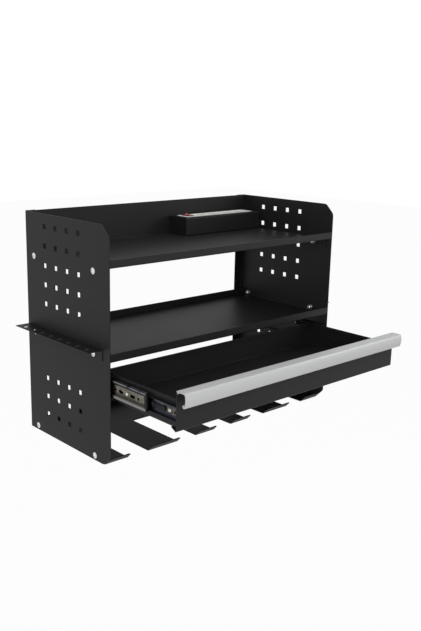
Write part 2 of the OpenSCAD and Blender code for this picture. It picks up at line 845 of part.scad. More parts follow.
module middle_section() {
  ball = [ball_u, ball_v];
  inner_ball = [inner_u, inner_v];
  mirrored_outline(concat(
    band_edge(0),
    [[middle_web_u, ball_v - race_r]],
    arc(ball, race_r, three_quarters, full_turn - race_step_a),
    arc_on(inner_ball, inner_race_r + slide_wall, half_turn - race_step_a, middle_lip_a),
    arc(inner_ball, inner_race_r, middle_lip_a, half_turn - race_step_a),
    arc_on(ball, race_r + slide_wall, full_turn - race_step_a, middle_web_a),
    band_edge_back(slide_wall)
  ));
}

// Slope beside the recessed band, from its foot up and from its top down, depth inside the outer face
function band_edge(depth) = [
  [middle_web_u + middle_sink + depth, middle_band_h / 2 + bevel * depth],
  [middle_web_u + depth, middle_band_h / 2 + middle_sink + bevel * depth]
];

function band_edge_back(depth) = [band_edge(depth)[1], band_edge(depth)[0]];

module inner_section() {
  bend = [slide_t - slide_bend_out, inner_top - slide_bend_out];
  inner_ball = [inner_u, inner_v];
  mirrored_outline(concat(
    arc(bend, slide_bend_out, 0, quarter),
    arc(inner_ball, inner_race_r, three_quarters, inner_lip_a),
    arc(inner_ball, inner_race_r + slide_wall, inner_lip_a, three_quarters),
    arc(bend, slide_bend_r, quarter, 0)
  ));
}

module outer_cage_section() {
  flange_end_u = ball_u + race_r - race_gap;
  mirrored_outline([
    [outer_cage_u, ball_v + cage_t / 2], [flange_end_u, ball_v + cage_t / 2],
    [flange_end_u, ball_v - cage_t / 2], [outer_cage_u + cage_t, ball_v - cage_t / 2]
  ]);
}

// The inner cage steps over the recessed band of the middle member
module inner_cage_section() {
  near = slide_wall + race_gap;
  flange_end_u = inner_u + inner_race_r - race_gap;
  mirrored_outline(concat(
    band_edge(near),
    [
      [inner_cage_u, inner_v + cage_t / 2], [flange_end_u, inner_v + cage_t / 2],
      [flange_end_u, inner_v - cage_t / 2], [inner_cage_u + cage_t, inner_v - cage_t / 2]
    ],
    band_edge_back(near + cage_t)
  ));
}

module slide_rivet_holes() {
  for (y = slide_rivet_ys) translate([panel_in - slide_t / 2, y, slide_z]) rotate([0, 90, 0]) {
    cylinder(d = slide_rivet_hole_d, h = slide_t);
  }
}

module slide_outer() difference() {
  slide_run(slide_front + slide_l, slide_l) outer_section();
  slide_rivet_holes();
}

module right_slide_outer() color(rail_dark) slide_outer();

module left_slide_outer() color(rail_dark) mirror([1, 0, 0]) slide_outer();

module slide_rivets() color(coat) mirrored_pair() for (y = slide_rivet_ys) {
  translate([panel_in - slide_wall - slide_rivet_head_h, y, slide_z]) rotate([0, 90, 0]) {
    cylinder(d = slide_rivet_d, h = slide_rivet_head_h + slide_wall + sheet_t);
    cylinder(d = slide_rivet_head_d, h = slide_rivet_head_h);
  }
}

module slide_middle() {
  last_hole = floor((middle_l - 2 * middle_hole_inset) / middle_slot_pitch);
  first_y = middle_front + middle_hole_inset;
  difference() {
    slide_run(middle_front + middle_l, middle_l) middle_section();
    for (i = [0:last_hole]) {
      along_x(panel_in - slide_t, slide_t) translate([first_y + i * middle_slot_pitch, slide_z]) {
        if (i % 2 == 1) stadium(middle_slot_l, middle_slot_w);
        else circle(d = middle_slot_w);
      }
    }
  }
}

module right_slide_middle() color(rail_zinc) slide_middle();

module left_slide_middle() color(rail_zinc) mirror([1, 0, 0]) slide_middle();

// End cap in front of a middle member, with a tongue that fills its recessed band
module middle_cap() {
  cap_v = ball_v - race_r;
  slide_run(middle_front, middle_cap_l) mirrored_outline(concat(
    [[middle_web_u, cap_v], [middle_web_u + slide_wall, cap_v]],
    band_edge_back(slide_wall)
  ));
  slide_run(middle_front + cap_tongue_l, cap_tongue_l + middle_cap_l) mirrored_outline([
    [middle_web_u, middle_band_h / 2 + middle_sink],
    [middle_web_u + middle_sink, middle_band_h / 2]
  ]);
}

module right_middle_cap() color(black_plastic) middle_cap();

module left_middle_cap() color(black_plastic) mirror([1, 0, 0]) middle_cap();

module slide_inner() difference() {
  slide_run(inner_front + slide_l, slide_l) inner_section();
  slide_screw_holes();
  along_x(box_out - over, slide_wall + 2 * over) translate([inner_front + spare_hole_inset, slide_z]) {
    circle(d = spare_hole_d);
  }
}

module right_slide_inner() color(steel) slide_inner();

module left_slide_inner() color(steel) mirror([1, 0, 0]) slide_inner();

// Release lever on the web of an inner member
module slide_lever() {
  thumb_y = slide_screw_y + slide_screw_head_d / 2 + lever_gap;
  web_x = box_out + slide_wall;
  along_x(web_x, lever_t) translate([thumb_y + lever_l / 2, slide_z]) stadium(lever_l, lever_w);
  for (end_y = [thumb_y + lever_end_d / 2, thumb_y + lever_l - lever_end_d / 2]) {
    along_x(web_x, lever_t + lever_end_h) translate([end_y, slide_z]) circle(d = lever_end_d);
  }
}

module right_slide_lever() color(black_plastic) slide_lever();

module left_slide_lever() color(black_plastic) mirror([1, 0, 0]) slide_lever();

module slide_screw_holes() {
  for (y = slide_screw_ys) translate([box_in - over, y, slide_z]) rotate([0, 90, 0]) {
    cylinder(d = slide_screw_hole_d, h = sheet_t + slide_wall + 2 * over);
  }
}

module slide_screws() color(zinc) mirrored_pair() for (y = slide_screw_ys) {
  translate([box_out + slide_wall, y, slide_z]) rotate([0, 90, 0]) {
    dome(slide_screw_head_d, slide_screw_head_h);
    shank_l = slide_wall + sheet_t + slide_screw_tip;
    translate([0, 0, -shank_l]) cylinder(d = slide_screw_d, h = shank_l + over);
  }
}

// Balls in two rows, about a point on the right-hand slide
module ball_rows(mid_y, u, v, pitch, cage_l, radius) {
  count = floor((cage_l - 2 * cage_bar) / pitch) + 1;
  for (i = [0:count - 1], row = [-1, 1]) {
    translate([panel_in - u, mid_y + (i - (count - 1) / 2) * pitch, slide_z + row * v]) sphere(radius);
  }
}

module cage_slot(mid_y, cage_l) {
  translate([panel_in - slide_t, mid_y - cage_l / 2 + cage_bar, slide_z - cage_window]) {
    cube([slide_t, cage_l - 2 * cage_bar, 2 * cage_window]);
  }
}

module outer_balls(radius) {
  ball_rows(slide_mid_y - outer_cage_shift, ball_u, ball_v, outer_ball_pitch, outer_cage_l, radius);
}

module inner_balls(radius) {
  ball_rows(slide_mid_y - inner_cage_shift, inner_u, inner_v, inner_ball_pitch, inner_cage_l, radius);
}

module outer_cage() {
  mid_y = slide_mid_y - outer_cage_shift;
  difference() {
    slide_run(mid_y + outer_cage_l / 2, outer_cage_l) outer_cage_section();
    cage_slot(mid_y, outer_cage_l);
    outer_balls(ball_d / 2 + pocket_gap);
  }
}

module inner_cage() {
  mid_y = slide_mid_y - inner_cage_shift;
  difference() {
    slide_run(mid_y + inner_cage_l / 2, inner_cage_l) inner_cage_section();
    cage_slot(mid_y, inner_cage_l);
    inner_balls(inner_ball_d / 2 + pocket_gap);
  }
}

module right_outer_cage() color(zinc) outer_cage();

module left_outer_cage() color(zinc) mirror([1, 0, 0]) outer_cage();

module right_outer_balls() color(steel) outer_balls(ball_d / 2);

module left_outer_balls() color(steel) mirror([1, 0, 0]) outer_balls(ball_d / 2);

module right_inner_cage() color(zinc) inner_cage();

module left_inner_cage() color(zinc) mirror([1, 0, 0]) inner_cage();

module right_inner_balls() color(steel) inner_balls(inner_ball_d / 2);

module left_inner_balls() color(steel) mirror([1, 0, 0]) inner_balls(inner_ball_d / 2);

// Drawer box: floor and sides in one fold, hemmed along the top, with a rear wall
// and two flanges behind the drawer front
module hem() {
  translate([0, -box_hem_h]) square([2 * sheet_t, box_hem_h - sheet_t]);
  translate([sheet_t, -sheet_t]) circle(sheet_t);
}

module box_side_section() {
  translate([box_out, box_under]) mirror([1, 0]) folded_l(box_out + over, box_h - sheet_t);
  translate([box_out - 2 * sheet_t, box_top]) hem();
}

module box_rear_section() {
  translate([box_rear, box_under]) mirror([1, 0]) folded_l(box_relief + over, box_h - sheet_t);
  translate([box_rear - 2 * sheet_t, box_top]) hem();
}

module box_corner() {
  corner_h = box_h - box_hem_h - box_relief;
  translate([box_out, box_front, box_under + box_relief]) linear_extrude(corner_h) {
    mirror([1, 0]) folded_l(box_flange_w, box_relief + over);
  }
  translate([box_in, box_rear - box_relief - over, box_under + box_relief]) {
    cube([sheet_t, box_relief + over, box_h - sheet_t - box_relief]);
  }
  floor_end = box_out - box_flange_w;
  translate([-over, box_front + fold_r, box_under]) {
    cube([floor_end + over, box_relief - fold_r + over, sheet_t]);
  }
}

module drawer_box() color(coat) difference() {
  rear_half = (box_in + box_out) / 2;
  union() {
    mirrored_pair() {
      toward_front(box_rear - box_relief, box_l - 2 * box_relief) box_side_section();
      box_corner();
    }
    along_x(-rear_half, 2 * rear_half) box_rear_section();
  }
  mirrored_pair() {
    slide_screw_holes();
    at_studs() cylinder(d = stud_hole_d, h = sheet_t + 2 * over);
  }
}

// Places behind the drawer front, with the axis pointing back into the drawer
module at_studs() {
  for (z = stud_zs) translate([stud_x, box_front - over, z]) rotate([-90, 0, 0]) children();
}

module return_mitre() {
  translate([0, 0, front_under - over]) linear_extrude(sheet_t + 2 * over) {
    polygon([
      [front_half, drawer_face + fold_out],
      [front_half + over, drawer_face + fold_out],
      [front_half + over, drawer_face + front_return + over],
      [front_half - front_mitre, drawer_face + front_return + over],
      [front_half - front_mitre, drawer_face + front_return]
    ]);
  }
}

module drawer_front() color(coat) {
  difference() {
    along_x(-front_half, 2 * front_half) {
      translate([drawer_face, front_under]) folded_l(front_return, front_h);
    }
    mirrored_pair() return_mitre();
    handle_rivet_holes(sheet_t);
  }
  mirrored_pair() for (z = stud_zs) {
    translate([stud_x, box_front - sheet_t / 2, z]) rotate([-90, 0, 0]) {
      cylinder(d = stud_d, h = stud_l + sheet_t / 2);
    }
  }
}

module drawer_front_nuts() color(zinc) mirrored_pair() for (z = stud_zs) {
  translate([stud_x, box_front + sheet_t, z]) rotate([-90, 0, 0]) {
    hex_nut(stud_nut_flats, stud_nut_h, stud_d);
  }
}

// Extruded handle strip, its section in Y and Z: a flange over the top edge of the drawer front,
// a leg that is riveted to it and a crowned front with a curled lower edge
module handle_section() {
  face_mid = [handle_face_r - handle_reach, handle_gap + handle_t - handle_bulge];
  edge_run = handle_face_r - handle_edge_r;
  edge_a = half_turn - asin((handle_bulge - handle_edge_r) / edge_run);
  edge_mid = arc_point(face_mid, edge_run, edge_a);
  curl_run = handle_face_r - handle_curl_r;
  curl_a = half_turn + asin((handle_h - handle_bulge - handle_curl_r) / curl_run);
  curl_mid = arc_point(face_mid, curl_run, curl_a);
  leg_foot = handle_gap - leg_h;
  polygon(concat(
    [[sheet_t, handle_gap], [sheet_t, handle_gap + handle_t]],
    arc(edge_mid, handle_edge_r, quarter, edge_a),
    arc_on(face_mid, handle_face_r, edge_a, curl_a),
    arc_on(curl_mid, handle_curl_r, curl_a, curl_a + quarter),
    arc(curl_mid, handle_curl_r - handle_t, curl_a + quarter, curl_a),
    arc_on(face_mid, handle_face_r - handle_t, curl_a, edge_a),
    arc_on(edge_mid, handle_edge_r - handle_t, edge_a, quarter),
    [[-handle_t, handle_gap], [-handle_t, leg_foot], [0, leg_foot], [0, handle_gap]]
  ));
}

module handle_rivet_holes(depth) {
  for (x = handle_rivet_xs) translate([x, box_front + over, handle_rivet_z]) rotate([90, 0, 0]) {
    cylinder(d = handle_rivet_d + 2 * thread_gap, h = depth + 2 * over);
  }
}

module leg_notch() {
  notch_x = handle_half - leg_notch_l;
  notch_h = leg_h - leg_stub_h;
  translate([notch_x, drawer_face - handle_t - over, front_top + handle_gap - leg_h - over]) {
    cube([leg_notch_l + over, handle_t + 2 * over, notch_h + over]);
  }
}

module drawer_handle() color(aluminium) difference() {
  along_x(-handle_half, 2 * handle_half) translate([drawer_face, front_top]) handle_section();
  handle_rivet_holes(sheet_t + handle_t);
  mirrored_pair() leg_notch();
}

module handle_rivets() color(zinc) {
  grip = sheet_t + handle_t;
  for (x = handle_rivet_xs) {
    translate([x, drawer_face - handle_t, handle_rivet_z]) rotate([-90, 0, 0]) {
      rotate([180, 0, 0]) dome(handle_rivet_head_d, handle_rivet_head_h);
      translate([0, 0, -handle_rivet_head_h / 2]) {
        cylinder(d = handle_rivet_d, h = grip + handle_rivet_head_h);
      }
      translate([0, 0, grip]) cylinder(d = handle_rivet_tail_d, h = handle_rivet_head_h);
    }
  }
}

// Power strip
module strip_screw_holes() {
  for (x = strip_screw_xs) translate([x, over - upstand_y, strip_mid_z]) rotate([90, 0, 0]) {
    cylinder(d = strip_screw_hole_d, h = sheet_t + strip_wall + 2 * over);
  }
}

module strip_outline() {
  translate([strip_mid_y, strip_mid_z]) round_rect(strip_d, strip_h, strip_edge_r);
}

module strip_cavity(gap) {
  translate([strip_mid_y, strip_mid_z]) {
    square([strip_d - 2 * (strip_wall + gap), strip_h - 2 * (strip_wall + gap)], center = true);
  }
}

module strip_body() color(black_plastic) difference() {
  along_x(body_left, body_l) difference() {
    strip_outline();
    strip_cavity(0);
    translate([strip_mid_y - face_w / 2, strip_mid_z]) square([face_w, strip_h]);
  }
  strip_screw_holes();
}

module strip_cap(x_start, x_plug, x_grooves) {
  difference() {
    along_x(x_start, strip_cap_l) strip_outline();
    for (i = [0:cap_grooves - 1]) {
      y = strip_mid_y + (i - (cap_grooves - 1) / 2) * strip_d / (cap_grooves + 1);
      translate([x_grooves, y - cap_groove / 2, top_floor + strip_edge_r]) {
        cube([cap_groove, cap_groove, strip_h - 2 * strip_edge_r]);
      }
    }
  }
  along_x(x_plug, strip_wall + over) difference() {
    strip_cavity(strip_gap);
    translate([strip_mid_y, face_under]) square([strip_d, 2 * (strip_top - face_under)], center = true);
  }
}

module strip_left_cap() color(black_plastic) strip_cap(strip_left, body_left - over, strip_left);

module strip_right_cap() color(black_plastic) difference() {
  union() {
    strip_cap(body_left + body_l, body_left + body_l - strip_wall, strip_right - cap_groove);
    translate([strip_right - cap_groove, strip_mid_y, strip_mid_z]) rotate([0, 90, 0]) {
      cylinder(d = gland_d, h = gland_l + cap_groove);
    }
  }
  bore_l = strip_cap_l + strip_wall + gland_l + 2 * over;
  translate([strip_right + gland_l + over - bore_l, strip_mid_y, strip_mid_z]) rotate([0, 90, 0]) {
    cylinder(d = gland_bore, h = bore_l);
  }
}

module strip_face() color(pale_plastic) difference() {
  along_x(body_left + strip_gap, body_l - 2 * strip_gap) {
    translate([strip_mid_y - face_w / 2 + strip_gap, face_under]) {
      square([face_w - 2 * strip_gap, face_top - face_under]);
    }
    translate([strip_mid_y - face_w / 2 - face_rim, face_under]) {
      square([face_w + 2 * face_rim, face_rim_t]);
    }
  }
  for (x = outlet_xs) translate([x, strip_mid_y, face_under - over]) {
    linear_extrude(face_top - face_under + 2 * over) {
      round_rect(outlet_size + 2 * strip_gap, outlet_size + 2 * strip_gap, outlet_r + strip_gap);
    }
  }
  translate([rocker_x, strip_mid_y, face_under]) {
    cube([switch_w + 2 * strip_gap, switch_l + 2 * strip_gap, strip_h], center = true);
  }
}

module strip_outlets() color(grey_plastic) for (x = outlet_xs) {
  translate([x, strip_mid_y, outlet_top - outlet_h]) difference() {
    linear_extrude(outlet_h) round_rect(outlet_size, outlet_size, outlet_r);
    for (s = [-1, 1]) translate([0, s * blade_gap, outlet_h / 2]) {
      cube([blade_l, blade_w, outlet_h + 2 * over], center = true);
    }
    translate([earth_x, 0, -over]) cylinder(d = earth_d, h = outlet_h + 2 * over);
  }
}

module strip_bus_bars() color(brass) for (y = bus_ys) {
  bus_left = outlet_xs[0] - outlet_size / 2;
  bus_right = outlet_xs[outlet_n - 1] + outlet_size / 2;
  translate([bus_left, y - bus_t / 2, outlet_top - outlet_h - bus_h]) {
    cube([bus_right - bus_left, bus_t, bus_h]);
  }
}

module strip_screws() color(zinc) for (x = strip_screw_xs) {
  translate([x, -upstand_y, strip_mid_z]) rotate([-90, 0, 0]) {
    dome(strip_screw_head_d, strip_screw_head_h);
    shank_l = sheet_t + 2 * strip_wall;
    translate([0, 0, -shank_l]) cylinder(d = strip_screw_d, h = shank_l + over);
  }
}

// Rocker switch, drawn with its front end pressed
module switch_bezel() color(black_plastic) difference() {
  union() {
    translate([rocker_x, strip_mid_y, face_top]) linear_extrude(bezel_proud) {
      round_rect(bezel_w, bezel_l, bezel_rim);
    }
    translate([rocker_x - switch_w / 2, strip_mid_y - switch_l / 2, face_top - bezel_h]) {
      cube([switch_w, switch_l, bezel_h + bezel_proud]);
    }
  }
  translate([rocker_x - well_w / 2, strip_mid_y - well_l / 2, well_floor]) {
    cube([well_w, well_l, face_top + bezel_proud + over - well_floor]);
  }
  rocker_pins(rocker_pin_d + 2 * pocket_gap, bezel_wall);
}

module rocker_pins(diameter, reach) {
  translate([rocker_x, strip_mid_y, rocker_pivot_z]) rotate([0, 90, 0]) {
    cylinder(d = diameter, h = well_w + 2 * reach, center = true);
  }
}

module switch_rocker() color(switch_red) {
  end_top = rocker_valley + (rocker_l / 2) * tan(rocker_tilt);
  translate([rocker_x - rocker_w / 2, strip_mid_y, rocker_pivot_z]) rotate([rocker_tilt, 0, 0]) {
    along_x(0, rocker_w) intersection() {
      circle(d = rocker_l);
      polygon([
        [-rocker_l / 2, -rocker_skirt], [rocker_l / 2, -rocker_skirt],
        [rocker_l / 2, end_top], [0, rocker_valley], [-rocker_l / 2, end_top]
      ]);
    }
  }
  rocker_pins(rocker_pin_d, bezel_wall - pocket_gap);
}

left_side_panel();
right_side_panel();
top_shelf();
middle_shelf();
bottom_tool_hanger();
left_screwdriver_rack();
right_screwdriver_rack();
frame_bolts();
frame_nuts();
left_slide_outer();
right_slide_outer();
slide_rivets();
left_slide_middle();
right_slide_middle();
left_middle_cap();
right_middle_cap();
left_outer_cage();
right_outer_cage();
left_outer_balls();
right_outer_balls();
left_inner_cage();
right_inner_cage();
left_inner_balls();
right_inner_balls();
left_slide_inner();
right_slide_inner();
left_slide_lever();
right_slide_lever();
slide_screws();
drawer_box();
drawer_front();
drawer_front_nuts();
drawer_handle();
handle_rivets();
strip_body();
strip_left_cap();
strip_right_cap();
strip_face();
strip_outlets();
strip_bus_bars();
strip_screws();
switch_bezel();
switch_rocker();
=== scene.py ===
import math

import bmesh
import bpy
from mathutils import Matrix, Vector


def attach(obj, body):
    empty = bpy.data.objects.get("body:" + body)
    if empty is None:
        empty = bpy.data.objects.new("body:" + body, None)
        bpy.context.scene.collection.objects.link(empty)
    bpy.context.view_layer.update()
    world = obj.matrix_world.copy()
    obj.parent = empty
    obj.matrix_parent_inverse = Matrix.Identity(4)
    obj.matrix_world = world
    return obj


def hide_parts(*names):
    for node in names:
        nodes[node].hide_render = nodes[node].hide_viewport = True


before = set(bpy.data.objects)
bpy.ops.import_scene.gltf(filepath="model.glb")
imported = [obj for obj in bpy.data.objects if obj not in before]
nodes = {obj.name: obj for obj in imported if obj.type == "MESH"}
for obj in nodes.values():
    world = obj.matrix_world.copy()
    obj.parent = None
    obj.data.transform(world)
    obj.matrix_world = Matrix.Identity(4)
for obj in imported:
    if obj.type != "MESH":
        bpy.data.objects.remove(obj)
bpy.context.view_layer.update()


# a socket that can stand in a sum; node() adds every other kind of node
class Wire:
    def __init__(self, tree, socket=None):
        self.tree = tree
        self.socket = socket

    def node(self, kind, settings=None, values=None, out=0):
        made = self.tree.nodes.new(kind)
        for name, value in (settings or {}).items():
            setattr(made, name, value)
        for key, value in (values or {}).items():
            if isinstance(value, Wire):
                self.tree.links.new(value.socket, made.inputs[key])
            else:
                made.inputs[key].default_value = value
        return Wire(self.tree, made.outputs[out])

    def math(self, operation, first, second):
        return self.node("ShaderNodeMath", {"operation": operation}, {0: first, 1: second})

    def __add__(self, other):
        return self.math("ADD", self, other)

    def __radd__(self, other):
        return self.math("ADD", other, self)

    def __sub__(self, other):
        return self.math("SUBTRACT", self, other)

    def __rsub__(self, other):
        return self.math("SUBTRACT", other, self)

    def __mul__(self, other):
        return self.math("MULTIPLY", self, other)

    def __rmul__(self, other):
        return self.math("MULTIPLY", other, self)

    def into(self, shader, name):
        self.tree.links.new(self.socket, shader.inputs[name])


# 0 before start, 1 past end, smooth between them
def ramped(value, start, end):
    return value.node("ShaderNodeMapRange", {"interpolation_type": "SMOOTHSTEP"},
                      {"Value": value, "From Min": start, "From Max": end})


def linked(name, data):
    made = bpy.data.objects.new(name, data)
    bpy.context.scene.collection.objects.link(made)
    return made


# camera fitted to the photograph's panel edges and perforations
viewpoint = {
    "place": (-1.135352, -1.415348, 0.413416),
    "right": (0.752746, -0.658144, 0.014797),
    "forward": (0.641786, 0.728661, -0.239089),
    "lens": 46.695,
    "shiftX": 0.045,
}


def setCamera():
    data = bpy.data.cameras.new("viewpoint")
    data.lens = viewpoint["lens"]
    data.shift_x = viewpoint["shiftX"]
    camera = linked("viewpoint", data)
    right = Vector(viewpoint["right"])
    forward = Vector(viewpoint["forward"])
    turn = Matrix((right, right.cross(forward), -forward)).transposed().to_4x4()
    camera.matrix_world = Matrix.Translation(viewpoint["place"]) @ turn
    bpy.context.scene.camera = camera


# softboxes around the cabinet: place and size in metres, and watts
softboxes = {
    "key": {"place": (-2.0, -2.4, 1.4), "size": 1.8, "watts": 55},
    "side": {"place": (2.3, -1.6, 1.0), "size": 1.6, "watts": 18},
    "overhead": {"place": (0.2, -0.4, 2.4), "size": 1.6, "watts": 16},
}
room = {
    "lampAim": (0, -0.2, 0),
    "ambient": 0.35,
    "wallFade": (0.22, 0.56),  # steepness at which the mirrored wall starts to dim, and ends
    "floorZ": -1.425,
    "floorHalf": 14,
    "floorColour": (0.92, 0.92, 0.91, 1),
    "floorRough": 0.9,
    "floorWhite": 0.96,  # share of plain white for the camera
    "floorMirror": 0.72,  # share of that in a mirrored ray
}


def setLamps():
    for name, box in softboxes.items():
        data = bpy.data.lights.new(name, "AREA")
        data.size = box["size"]
        data.energy = box["watts"]
        aim = Vector(room["lampAim"]) - Vector(box["place"])
        turn = aim.to_track_quat("-Z", "Y").to_matrix().to_4x4()
        linked(name, data).matrix_world = Matrix.Translation(box["place"]) @ turn


# 1 for rays that see the backdrop itself or see it through glass, less for mirrored ones
def seenDirectly(wire, mirrored):
    camera = wire.node("ShaderNodeLightPath", out="Is Camera Ray")
    rays = camera.socket.node.outputs
    glossy = Wire(wire.tree, rays["Is Glossy Ray"])
    through = Wire(wire.tree, rays["Is Transmission Ray"])
    return camera.math("MAXIMUM", camera, camera.math("MAXIMUM", glossy * mirrored, through))


# the mirrored room is white up to eye level and dims towards its ceiling
def wallFade(wire):
    place = wire.node("ShaderNodeTexCoord", out="Generated")
    height = wire.node("ShaderNodeSeparateXYZ", None, {0: place}, "Z")
    return 1 - ramped(height, *room["wallFade"])


def setWorld():
    world = bpy.data.worlds.new("studio")
    world.use_nodes = True
    bpy.context.scene.world = world
    wire = Wire(world.node_tree)
    background = world.node_tree.nodes["Background"]
    background.inputs["Color"].default_value = (1, 1, 1, 1)
    seen = seenDirectly(wire, wallFade(wire))
    (room["ambient"] + seen * (1 - room["ambient"])).into(background, "Strength")


def floorPaper():
    paper = bpy.data.materials.new("floorPaper")
    paper.use_nodes = True
    tree = paper.node_tree
    shader = tree.nodes["Principled BSDF"]
    shader.inputs["Base Color"].default_value = room["floorColour"]
    shader.inputs["Roughness"].default_value = room["floorRough"]
    wire = Wire(tree)
    glow = wire.node("ShaderNodeEmission", None, {"Strength": 1.0})
    white = seenDirectly(wire, room["floorMirror"]) * room["floorWhite"]
    mixed = wire.node("ShaderNodeMixShader", None,
                      {0: white, 1: Wire(tree, shader.outputs[0]), 2: glow})
    mixed.into(tree.nodes["Material Output"], "Surface")
    return paper


def setFloor():
    half, low = room["floorHalf"], room["floorZ"]
    corners = [(-half, -half, low), (half, -half, low), (half, half, low), (-half, half, low)]
    mesh = bpy.data.meshes.new("floor")
    mesh.from_pydata(corners, [], [(0, 1, 2, 3)])
    mesh.materials.append(floorPaper())
    floor = linked("floor", mesh)


setCamera()
setLamps()
setWorld()
setFloor()
bpy.context.scene.view_settings.view_transform = "Standard"
print("camera and studio: set")


# every finish starts from a Principled shader with its constants on the sockets
def newFinish(name, constants):
    made = bpy.data.materials.new(name)
    made.use_nodes = True
    shader = made.node_tree.nodes["Principled BSDF"]
    for key, value in constants.items():
        shader.inputs[key].default_value = value
    return made, shader, Wire(made.node_tree).node("ShaderNodeTexCoord", out="Object")


def noise(place, scale, detail=2.0):
    return place.node("ShaderNodeTexNoise", None,
                      {"Vector": place, "Scale": scale, "Detail": detail}, "Fac")


def stretched(place, scale):
    return place.node("ShaderNodeMapping", None, {"Vector": place, "Scale": scale})


# noise drawn out by a scale of its own along each axis
def streaks(place, scale, detail=2.0):
    return noise(stretched(place, scale), 1.0, detail)


def shared(first, second, share):
    return first * share + second * (1 - share)


# colours are sockets or RGBA values
def blendPair(factor, first, second):
    return factor.node("ShaderNodeMix", {"data_type": "RGBA"}, {0: factor, 6: first, 7: second}, 2)


def blendColour(factor, first, second):
    return blendPair(factor, (*first, 1), (*second, 1))


# roughness and bump of a look, each from its own pattern
def textured(shader, look, rough, height):
    least, span = look["rough"]
    (least + span * rough).into(shader, "Roughness")
    strength, distance = look["bump"]
    bump = height.node("ShaderNodeBump", None,
                       {"Height": height, "Strength": strength, "Distance": distance})
    bump.into(shader, "Normal")


def coloured(shader, look, pattern):
    blendColour(pattern, look["dark"], look["light"]).into(shader, "Base Color")


# black powder coat: orange peel, fine grain and a slow change of tone
coatLook = {
    "dark": (0.0085, 0.0085, 0.0088), "light": (0.0135, 0.0135, 0.0138),
    "tone": 7, "peel": 420, "grain": 1900,
    "toneShare": {"colour": 0.75, "rough": 0.5}, "peelShare": 0.65,  # the rest is grain
    "rough": (0.42, 0.14), "bump": (0.5, 0.0002),
    # the hanger's copy of the coat reflects less: painted shade, the same coat with its sheen
    # turned down
    "specular": 0.23, "hangerShadedSpecular": 0.08,
}


def powderCoat(name, specular):
    made, shader, place = newFinish(name, {"Specular IOR Level": specular})
    peel = noise(place, coatLook["peel"])
    grain = noise(place, coatLook["grain"], detail=1.0)
    tone = noise(place, coatLook["tone"], detail=3.0)
    share = coatLook["toneShare"]
    coloured(shader, coatLook, shared(tone, grain, share["colour"]))
    textured(shader, coatLook, shared(tone, grain, share["rough"]),
             shared(peel, grain, coatLook["peelShare"]))
    return made


# satin anodised aluminium with drawing lines along the strip
handleLook = {
    "dark": (0.52, 0.523, 0.527), "light": (0.605, 0.608, 0.612), "metal": 0.42,
    "lines": (3, 900, 900), "smudge": 14,
    "lineShare": {"colour": 0.7, "rough": 0.6},  # the rest is smudge
    "rough": (0.46, 0.14), "bump": (0.12, 0.00004),
}


def satinAluminium():
    made, shader, place = newFinish("satinAluminium", {"Metallic": handleLook["metal"]})
    lines = streaks(place, handleLook["lines"], detail=3.0)
    smudge = noise(place, handleLook["smudge"], detail=3.0)
    share = handleLook["lineShare"]
    coloured(shader, handleLook, shared(lines, smudge, share["colour"]))
    textured(shader, handleLook, shared(lines, smudge, share["rough"]), lines)
    return made


# rolled or plated steel: one recipe, a dictionary for each finish
zincLook = {
    "name": "brightZinc", "dark": (0.5, 0.5, 0.49), "light": (0.7, 0.7, 0.69),
    "lines": (260, 260, 260), "cloud": 180, "rough": (0.22, 0.2), "bump": (0.1, 0.00005),
}
# lit copy of the zinc: painted lighter for the bolt heads on the panels' outer faces, also used on
# the rail rivets
litBoltLook = {
    "name": "whiteZinc", "dark": (0.74, 0.74, 0.73), "light": (0.88, 0.88, 0.87),
    "lines": (260, 260, 260), "cloud": 180, "rough": (0.24, 0.16), "bump": (0.1, 0.00005),
}
# shaded copy of the zinc: rougher, and painted darker for the nuts inside the panels
shadedNutLook = {
    "name": "dullZinc", "dark": (0.27, 0.27, 0.265), "light": (0.4, 0.4, 0.39),
    "lines": (260, 260, 260), "cloud": 180, "rough": (0.4, 0.18), "bump": (0.12, 0.00006),
}
ballLook = {
    "name": "polishedBall", "dark": (0.66, 0.66, 0.67), "light": (0.78, 0.78, 0.79),
    "lines": (300, 300, 300), "cloud": 400, "rough": (0.05, 0.06), "bump": (0.02, 0.00001),
}
brassLook = {
    "name": "rolledBrass", "dark": (0.5, 0.35, 0.12), "light": (0.66, 0.48, 0.2),
    "lines": (10, 500, 500), "cloud": 60, "rough": (0.25, 0.2), "bump": (0.06, 0.00003),
}
cloudShare = {"colour": 0.65, "rough": 0.5, "bump": 0.4}  # the rest is lines


def platedSteel(look):
    made, shader, place = newFinish(look["name"], {"Metallic": 1.0})
    lines = streaks(place, look["lines"])
    cloud = noise(place, look["cloud"], detail=4.0)
    coloured(shader, look, shared(cloud, lines, cloudShare["colour"]))
    textured(shader, look, shared(cloud, lines, cloudShare["rough"]),
             shared(cloud, lines, cloudShare["bump"]))
    return made
